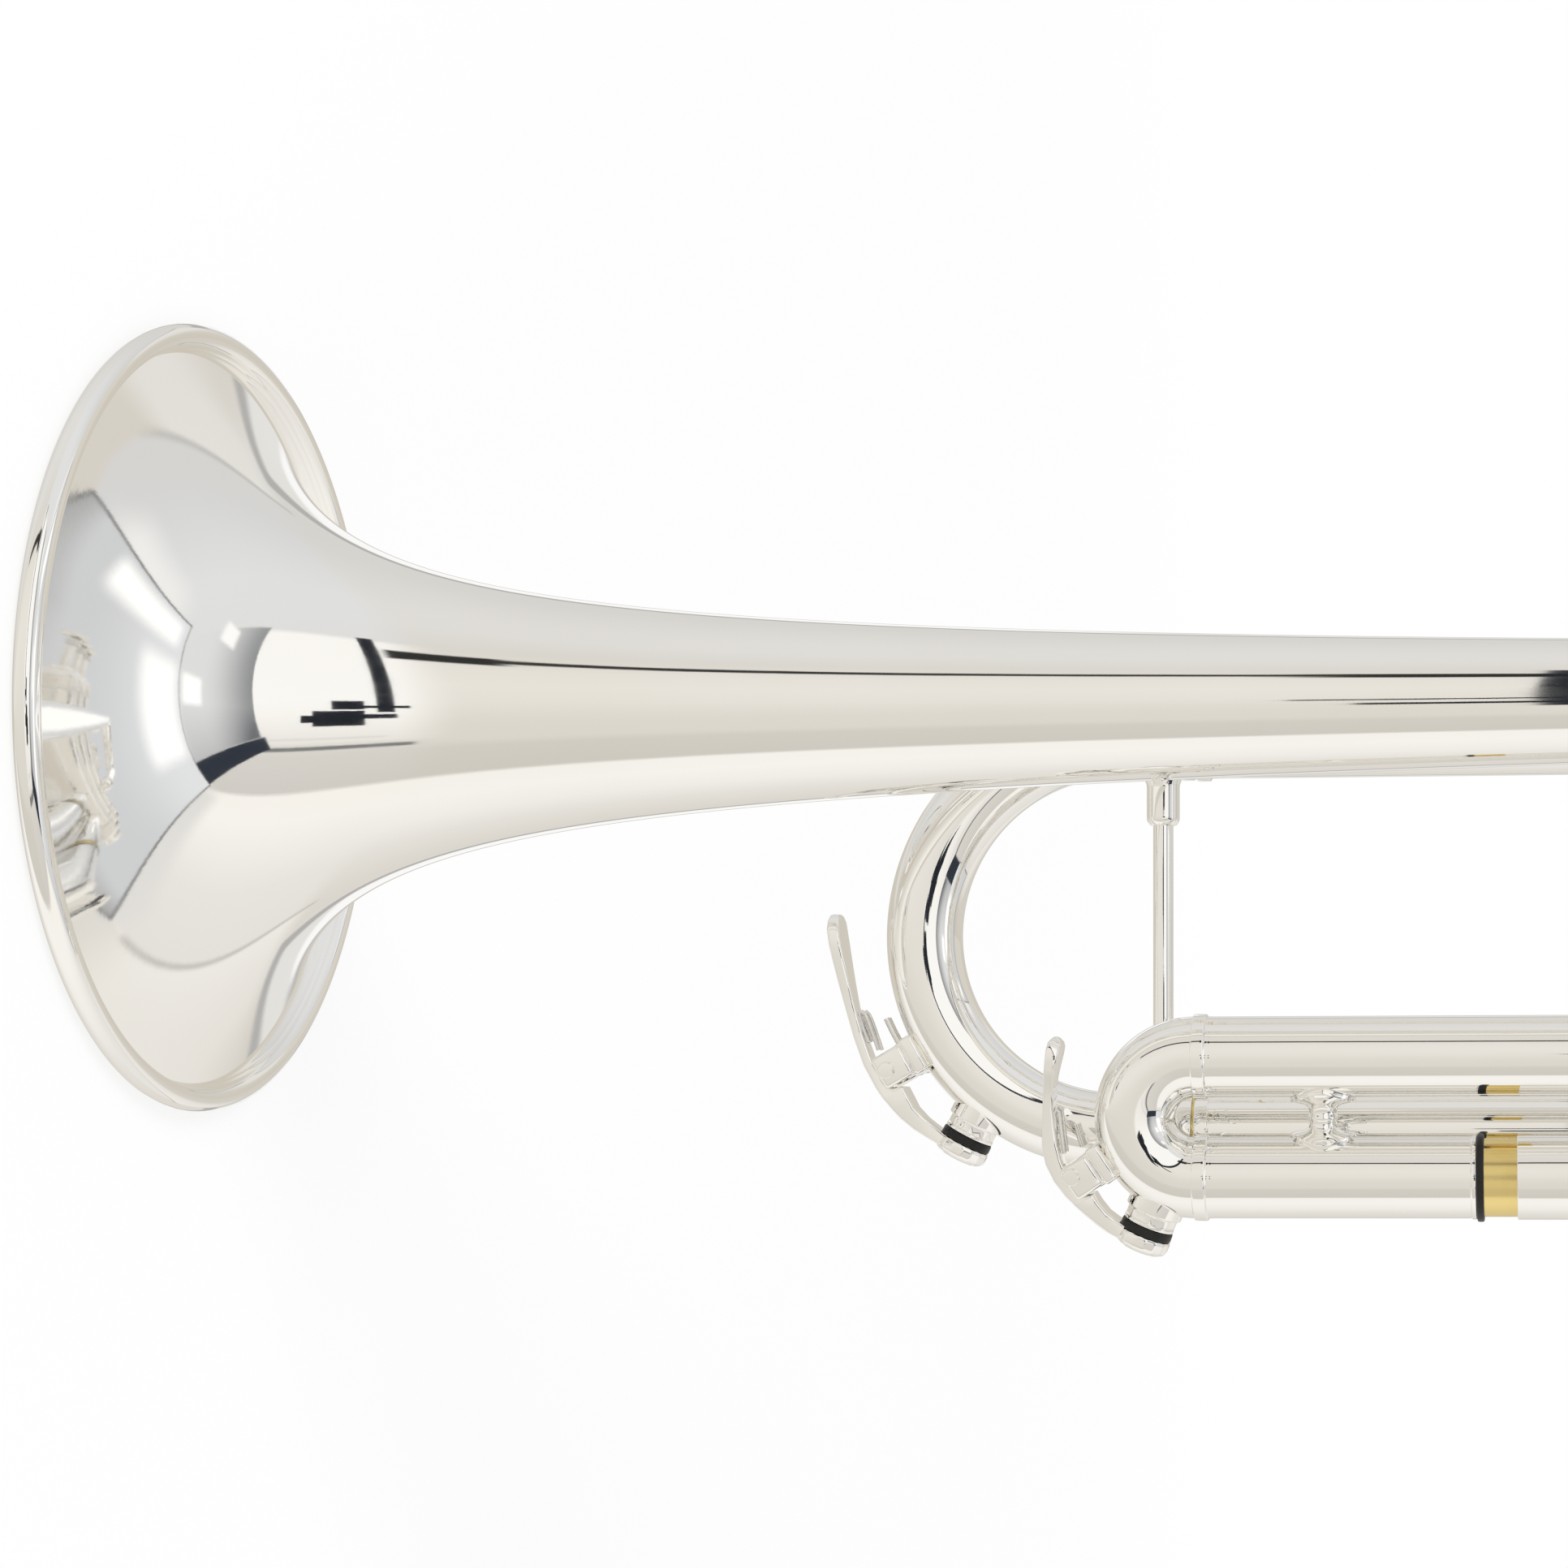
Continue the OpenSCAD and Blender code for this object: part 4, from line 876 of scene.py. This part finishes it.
water_key(
    "main_key", tuning_at, 38.7,
    [(-4.4, 46.9, 47.7, 1.2), (-4.1, 46.7, 48.1, 2.2), (-3, 46.4, 48.3, 3.1), (-1.2, 46.2, 48.3, 3.6),
     (2, 45.8, 47.9, 3.7), (5, 45.5, 47.5, 3.4), (10, 45.2, 47.1, 2.7), (15, 45.2, 46.95, 2.2),
     (21, 45.4, 47.1, 2.1), (27, 45.7, 47.4, 2.2), (32, 45.7, 47.4, 2.4), (33.6, 45.4, 47.35, 2.6),
     (34.6, 44.0, 47.3, 2.8), (35.4, 43.3, 47.2, 2.9), (38, 43.6, 47.05, 2.9), (40.3, 43.95, 46.9, 2.8),
     (43.5, 43.85, 46.5, 2.6), (46, 43.6, 46.0, 2.6), (49.5, 43.4, 45.4, 3.0)],
    (30.5, 43.9), (30.5, 0, 38.4, 45.5, 5.6), (52.4, 10), "tuning_slide", "tuning_water_key", "tuning",
    ([(25.5, 44.1), (22, 43.9), (18.6, 43.9), (17.2, 44.05), (16.4, 44.4), (16.5, 44.8), (17.4, 45.05),
      (20, 45.1), (23, 45.05)],
     [(26.5, 40.6), (23, 40.8), (19.6, 41)]),
)
water_key(
    "third_key", third_at, 16.1,
    [(-30.4, 24.9, 25.6, 0.9), (-29.6, 24.3, 26.1, 1.9), (-28, 23.95, 26.25, 2.9), (-25.5, 23.7, 26.0, 3.4),
     (-21, 23.45, 25.4, 3.5), (-16, 23.2, 24.95, 3.0), (-10, 22.85, 24.5, 2.5), (-4, 22.55, 24.35, 2.2),
     (4, 22.3, 24.5, 2.1), (11, 22.3, 24.9, 2.1), (17, 22.3, 25.0, 2.2), (24, 22.3, 24.7, 2.3),
     (31, 22.2, 24.1, 2.5), (35, 21.6, 23.7, 2.7), (36.6, 20.1, 23.6, 2.8), (41, 20.3, 23.3, 2.8),
     (47, 20.5, 23.05, 2.7), (52, 20.4, 22.9, 2.7), (57, 20.3, 22.6, 3.0)],
    (25, 21.3), (25.5, 8, 15.8, 22.6, 5.6), (65.8, 1.5), "third_slide", "third_water_key", "third",
    ([(15, 21.6), (8, 21.4), (0, 21.5), (-3, 21.7), (-4, 22.1), (-2, 22.35), (4, 22.3)],
     [(14, 18.5), (9, 18.7), (3, 19)]),
)

# ---- first and second slides

def make_first_slide():
    s = Shape()
    low = box("first_bow")[0].z
    top = box("first_bow")[1].z - crook_r - third_r
    curve = arc(V(sum(first_x) / 2, valve_y, top), -X, Z, crook_r, 0, 180, 64)
    s.pipe([V(first_x[0], valve_y, top - 0.5)] + curve + [V(first_x[1], valve_y, top - 0.5)], third_r, 64)
    for x in first_x:
        s.lathe(aim(V(x, valve_y, low), Z), rounded([
            (6.25, 0), (6.9, 0), (6.9, 2.2), (6.45, 2.4), (6.45, top - low - 1.4), (6.75, top - low - 1.3),
            (6.75, top - low), (6.25, top - low),
        ], [0, 0.3, 0.3, 0.1, 0.1, 0.2, 0.2, 0], 3), True, 64)
    s.done("first_bow_tube", "first_slide", "silver_plate", "first_bow")
    t = Shape()
    b = box("first_legs")
    for x in first_x:
        inner_tube(t, V(x, valve_y, b[0].z), V(x, valve_y, top - 1))
    t.done("first_inner_pair", "first_slide", "raw_brass", "first_legs")
    u = Shape()
    low, high = box("thumb_saddle")
    plate, strip, thumb_r = 0.9, 1.4, 9
    centre = V(first_x[0] - third_r - plate - strip - thumb_r, valve_y, (low.z + high.z) / 2)
    path = [centre + V(-1.5, 0, -9.7)] + arc(centre, -Z, X, 9.7, 0, 180, 60) + [centre + V(-1.5, 0, 9.7)]
    u.pipe(path, 1, section=lambda t: band(8 - 3 * (2 * abs(t - 0.5)) ** 6, strip))
    u.skin(saddle_rings(aim(V(first_x[0], valve_y, centre.z), -X, Z), third_r, boat(4, 4.2), [
        *STRIP_FOOT, (1, 1.4, 1.6)]))
    u.done("thumb_saddle_band", "first_slide", "silver_plate", "thumb_saddle")


make_first_slide()


def make_second_slide():
    s = Shape()
    b = box("second_bow")
    low = b[0].y
    z = valve[2].z
    bow_y = 55.75
    mid = sum(second_x) / 2
    curve = arc(V(mid, bow_y, z), -X, Y, crook_r, 0, 180, 64)
    s.pipe([V(second_x[0], bow_y - 0.5, z)] + curve + [V(second_x[1], bow_y - 0.5, z)], third_r, 64)
    for x in second_x:
        s.lathe(aim(V(x, low, z), Y), rounded([
            (6.25, 0), (6.9, 0), (6.9, 2), (6.45, 2.2), (6.45, bow_y - low), (6.25, bow_y - low),
        ], [0, 0.3, 0.3, 0.1, 0, 0], 3), True, 64)
    tip = b[1].y
    knob_r = 3.2
    neck = rounded([(3.4, 0), (2.6, 0.6), (1.6, 1.6), (1.45, 2.6), (1.6, 3.2)], 0.5, 4, False)
    angles = [0.65 + 2.45 * i / 14 for i in range(15)]
    ball = [(knob_r * sin(a), 6.2 - knob_r * cos(a)) for a in angles]
    s.lathe(aim(V(mid, tip - 9.4, z), Y), neck + ball, False, 48)
    s.done("second_bow_tube", "second_slide", "silver_plate", "second_bow")
    t = Shape()
    b = box("second_legs")
    for x in second_x:
        inner_tube(t, V(x, b[0].y, z), V(x, bow_y - 1, z))
    t.done("second_inner_pair", "second_slide", "raw_brass", "second_legs")


make_second_slide()

# CAD nodes that stay, with better materials
for name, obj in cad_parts.items():
    if name.startswith("piston") or name == "valve_guides":
        finish = nickel if name.startswith("piston") else brass
        obj.data.materials.clear()
        obj.data.materials.append(finish)

# ---- studio

def stage_piece(name, made, finish):
    """An object of the studio with an empty material. Returns the object and what builds its material."""
    mesh = bpy.data.meshes.new(name)
    made.to_mesh(mesh)
    made.free()
    obj = add(name, mesh)
    mat = bpy.data.materials.new(finish)
    mat.use_nodes = True
    mesh.materials.append(mat)
    tree = mat.node_tree
    tree.nodes.clear()
    out = tree.nodes.new("ShaderNodeOutputMaterial")
    glow = tree.nodes.new("ShaderNodeEmission")
    return obj, tree, out, glow


def mirrored_only(name, made, finish):
    """A studio piece that glows, that only reflections show, and that lights nothing else."""
    obj, tree, out, glow = stage_piece(name, made, finish)
    obj.visible_camera = obj.visible_diffuse = obj.visible_shadow = False
    obj.visible_transmission = obj.visible_volume_scatter = False
    obj.data.materials[0].cycles.emission_sampling = "NONE"
    tree.links.new(glow.outputs[0], out.inputs["Surface"])
    return tree, glow


def make_floor():
    """White paper that shows the trumpet's shadow and fades to plain white away from it."""
    made = bmesh.new()
    bmesh.ops.create_grid(made, x_segments=8, y_segments=8, size=50)
    obj, tree, out, glow = stage_piece("floor", made, "floor_paper")
    obj.visible_glossy = False
    shades = ramp(tree, noise(tree, 700, detail=5), [(0.3, (0.925, 0.925, 0.925)), (0.7, (0.945, 0.945, 0.945))])
    paper = node(tree, "BsdfDiffuse", {"Color": shades})
    far = node(tree, "VectorMath", {0: node(tree, "TexCoord", {}).outputs["Object"]}, operation="LENGTH")
    limits = {"From Min": 0.15, "From Max": 1.6, "To Min": 0.74, "To Max": 1.0}
    fade = node(tree, "MapRange", {"Value": far.outputs["Value"], **limits}, interpolation_type="SMOOTHSTEP")
    seen = node(tree, "LightPath", {}).outputs["Is Camera Ray"]
    share = node(tree, "Math", {0: seen, 1: fade.outputs["Result"]}, operation="MULTIPLY")
    mix = node(tree, "MixShader", {0: share.outputs[0], 1: paper.outputs[0], 2: glow.outputs[0]})
    tree.links.new(mix.outputs[0], out.inputs["Surface"])


make_floor()


def grey(value, warm=0.0):
    """A display value from 0 to 255 as a linear colour, with less blue where it is warm."""
    def lin(v):
        v = max(0.0, v) / 255
        return v / 12.92 if v < 0.04045 else ((v + 0.055) / 1.055) ** 2.4
    return (lin(value), lin(value - warm * 0.35), lin(value - warm))


def make_world():
    """Plain pale light all round. The camera sees it as white."""
    world = bpy.data.worlds.new("studio")
    scene.world = world
    world.use_nodes = True
    tree = world.node_tree
    back = tree.nodes["Background"]
    seen = node(tree, "LightPath", {}).outputs["Is Camera Ray"]
    bright = node(tree, "MapRange", {"Value": seen, "To Min": 0.8})
    back.inputs["Color"].default_value = (1, 1, 1, 1)
    tree.links.new(bright.outputs["Result"], back.inputs["Strength"])


make_world()


def make_room():
    """The white room around the trumpet, far away."""
    made = bmesh.new()
    bmesh.ops.create_icosphere(made, subdivisions=4, radius=20)
    tree, glow = mirrored_only("room", made, "room_light")
    where = node(tree, "TexCoord", {}).outputs["Object"]
    unit = node(tree, "VectorMath", {0: where}, operation="NORMALIZE").outputs[0]
    x, y, z = node(tree, "SeparateXYZ", {0: unit}).outputs

    def maths(op, *values):
        return node(tree, "Math", dict(enumerate(values)), operation=op).outputs[0]

    def rises(value, edge, blur):
        """0 below the edge and 1 above it."""
        inputs = {"Value": value, "From Min": edge - blur, "From Max": edge + blur}
        return node(tree, "MapRange", inputs, interpolation_type="SMOOTHSTEP").outputs["Result"]

    def within(value, low, high, blur):
        return maths("SUBTRACT", rises(value, low, blur), rises(value, high, blur))

    def mix(fac, a, b):
        a, b = ((*v, 1) if isinstance(v, tuple) else v for v in (a, b))
        return node(tree, "Mix", {0: fac, 6: a, 7: b}, data_type="RGBA").outputs[2]

    # In degrees around the trumpet's long axis, where 0 is the camera's side and positive is over the
    # buttons, and in degrees up that axis
    degree = pi / 180
    turn = maths("DIVIDE", maths("ARCTAN2", maths("MULTIPLY", x, -1), maths("MULTIPLY", y, -1)), degree)
    rise = maths("DIVIDE", maths("ARCSINE", z), degree)
    share = maths("MULTIPLY_ADD", turn, 1 / 360, 0.5)
    # (turn, tone, warmth) of the walls, below and above a rise of 7 degrees
    below = [
        (-180, 208, 16), (-167, 210, 15), (-155, 222, 7), (-143, 222, 11), (-130, 225, 9), (-110, 232, 7),
        (-90, 244, 6), (-70, 250, 5), (-53.5, 249, 6), (-50.5, 210, 11), (-28, 214, 12), (-22, 223, 11),
        (-8, 225, 12), (0, 228, 11), (10, 233, 10), (25, 236, 10), (40, 233, 10), (55, 223, 10), (58, 222, 7),
        (75, 227, 4), (90, 227, 4), (110, 223, 4), (130, 218, 4), (144, 217, 5), (155, 226, 4), (166, 208, 17),
        (180, 208, 16),
    ]
    above = [
        (-180, 210, 15), (-163, 214, 12), (-155, 232, 8), (-137, 241, 7), (-135, 232, 7), (-110, 235, 6),
        (-90, 243, 6), (-70, 250, 6), (-53.5, 250, 8), (-51, 211, 8), (-28, 217, 8), (-21, 224, 8),
        (-18.5, 237, 7), (-8, 246, 6), (0, 252, 5), (10, 255, 3), (55, 254, 4), (57.5, 227, -1), (75, 228, -2),
        (90, 228, -2), (110, 223, -2), (130, 217, -1), (140.5, 217, 0), (142, 231, 5), (151, 229, 5),
        (156, 219, 10), (162, 211, 14), (180, 208, 16),
    ]

    def tones(stops):
        return ramp(tree, share, [((a + 180) / 360, grey(v, w)) for a, v, w in stops])

    env = mix(rises(rise, 7, 4), tones(below), tones(above))
    # Seams, corners and dark things on the walls: limits of turn and rise, blur, tone and warmth
    for low, high, bottom, top, blur, value, warm in (
        (-24, -21.4, 8, 44, 0.7, 128, 0), (-17, -15.5, 12, 40, 0.7, 226, 6),
        (44, 50.5, -1, 10, 0.8, 50, 0), (46, 49.5, -40, 0, 0.8, 56, 2), (-137, -135.6, 4, 52, 0.9, 198, 6),
        (140.3, 141.7, 4, 38, 0.9, 196, 4), (-169.5, -148, -30, 6, 1, 180, 2), (147, 168.5, -30, 6, 1, 180, 2),
        (-168, -152.5, -30, 3, 1.2, 230, 4), (152, 167, -30, 3, 1.2, 230, 4),
        (-168, -152.5, -30, -7, 1.4, 252, 0), (152, 167, -30, -7, 1.4, 252, 0),
    ):
        mask = maths("MULTIPLY", within(turn, low, high, blur), within(rise, bottom, top, blur))
        env = mix(mask, env, grey(value, warm))

    # Steeper up, the sides behind the trumpet are darker
    steep = maths("MULTIPLY", maths("MAXIMUM", maths("SUBTRACT", rise, 33), 0), 0.25)
    mask = maths("MULTIPLY", rises(maths("ADD", turn, steep), 141.5, 0.8), rises(rise, 33, 4))
    env = mix(mask, env, grey(217, 13))
    mask = maths("MULTIPLY", rises(maths("MULTIPLY", turn, -1), 136.3, 0.8), rises(rise, 57, 12))
    env = mix(mask, env, grey(206, 17))

    # Towards the mouthpiece: the room's grey end wall with its soft boxes, and the darker ceiling by the camera
    ahead = maths("MAXIMUM", z, 0.05)
    height = maths("DIVIDE", maths("MULTIPLY", x, -1), ahead)
    side = maths("ADD", maths("DIVIDE", maths("MULTIPLY", y, -1), ahead), maths("MULTIPLY", height, 0.18))
    inward = rises(z, 0.3, 0.02)
    low_side = maths("MAXIMUM", maths("MULTIPLY_ADD", height, -1.0, 0.1), 0)
    shade = maths("MULTIPLY_ADD", rises(side, 0.78, 0.3), 0.8, low_side)
    dusk = mix(shade, grey(226, -2), grey(112, -6))
    wall = mix(rises(side, 0.0, 0.25), grey(210, -5), grey(229, -5))
    facing = within(turn, -52, 58, 0.8)
    bend = maths("MULTIPLY", maths("MAXIMUM", maths("SUBTRACT", height, 0.25), 0), 0.4)
    bend = maths("MULTIPLY_ADD", maths("MAXIMUM", maths("MULTIPLY_ADD", height, -1, -0.15), 0), 0.66, bend)
    from_edge = maths("ADD", side, bend)
    wall = mix(rises(from_edge, -0.32, 0.06), grey(172, 0), wall)
    # Limits of height and side, blur, colour, and what else bounds the patch
    for low, high, left, right, blur, colour, limit in (
        (-0.6, -0.4, -0.6, 0.3, 0.07, grey(228, 4), None), (0.45, 0.68, -0.35, 0.2, 0.13, grey(243), None),
        (-0.27, 1.6, 0.31, 1.03, 0.006, dusk, facing), (-0.465, -0.275, 0.31, 1.08, 0.008, grey(50, -16), facing),
        (-0.478, 0.537, -0.62, 0.327, 0.006, grey(135, 0), rises(from_edge, -0.372, 0.006)),
        (-0.465, 0.524, -0.62, 0.32, 0.006, wall, rises(from_edge, -0.36, 0.006)),
        (0.36, 0.49, -0.22, 0.27, 0.04, grey(266), None), (-0.21, 0.27, 0.07, 0.3, 0.055, grey(266), None),
        (0.08, 0.25, 0.35, 0.5, 0.025, grey(266), None), (0.62, 0.84, 0.58, 0.74, 0.03, grey(258), None),
    ):
        mask = maths("MULTIPLY", within(height, low, high, blur), within(side, left, right, blur))
        mask = maths("MULTIPLY", mask, inward)
        if limit:
            mask = maths("MULTIPLY", mask, limit)
        env = mix(mask, env, colour)

    tree.links.new(env, glow.inputs["Color"])


make_room()


def make_rig():
    """Dark stands and a boom beside the camera, as arcs around the trumpet.

    Each has its distance, its first and last angle, and its lowest and highest Z."""
    made = bmesh.new()
    for reach, low, high, bottom, top in (
        (1.16, 2, 57, 0.2547, 0.308), (0.76, -2.6, 0.6, 0.1755, 0.26), (0.76, -7.5, 3, 0.24, 0.4),
        (0.76, 5, 6.8, 0.154, 0.26), (0.76, 4, 10, 0.24, 0.33), (0.76, -5, 0, 0.39, 0.45),
    ):
        steps = max(2, round((high - low) / 3))
        last = None
        for i in range(steps + 1):
            a = radians(low + (high - low) * i / steps)
            pair = [made.verts.new((-reach * sin(a), -reach * cos(a), z)) for z in (bottom, top)]
            if last:
                made.faces.new((last[0], pair[0], pair[1], last[1]))
            last = pair
    tree, glow = mirrored_only("rig", made, "rig_black")
    glow.inputs["Color"].default_value = (*grey(38, -9), 1)


make_rig()


def lamp(name, place, target, size, power):
    """A round lamp that reflections don't show."""
    data = bpy.data.lights.new(name, "AREA")
    data.shape = "DISK"
    data.size = size
    data.energy = power
    obj = add(name, data)
    obj.matrix_world = aim(Vector(place), Vector(place) - Vector(target), Y)
    obj.visible_glossy = False


lamp("key", (-1.6, -1.2, 1.7), (0, 0, 0.2), 1.6, 24)
lamp("fill", (1.4, -1.6, 1.5), (0, 0, 0.2), 2.0, 10)

# ---- camera

def make_camera():
    data = bpy.data.cameras.new("camera")
    obj = add("camera", data)
    yaw, pitch, roll = radians(4.6), radians(-0.144), radians(-0.626)
    right, up, ahead = Z, -X, Y
    ahead, right = cos(yaw) * ahead - sin(yaw) * right, cos(yaw) * right + sin(yaw) * ahead
    ahead, up = cos(pitch) * ahead + sin(pitch) * up, cos(pitch) * up - sin(pitch) * ahead
    right, up = cos(roll) * right + sin(roll) * up, cos(roll) * up - sin(roll) * right
    m = Matrix((right, up, -ahead)).transposed().to_4x4()
    m.translation = Vector((0.0109, -0.4686, 0.2108))
    obj.matrix_world = m
    data.sensor_width = 36
    data.lens = 70.75
    data.shift_x = -0.33
    data.clip_start, data.clip_end = 0.02, 60
    scene.camera = obj


make_camera()
scene.view_settings.view_transform = "Standard"
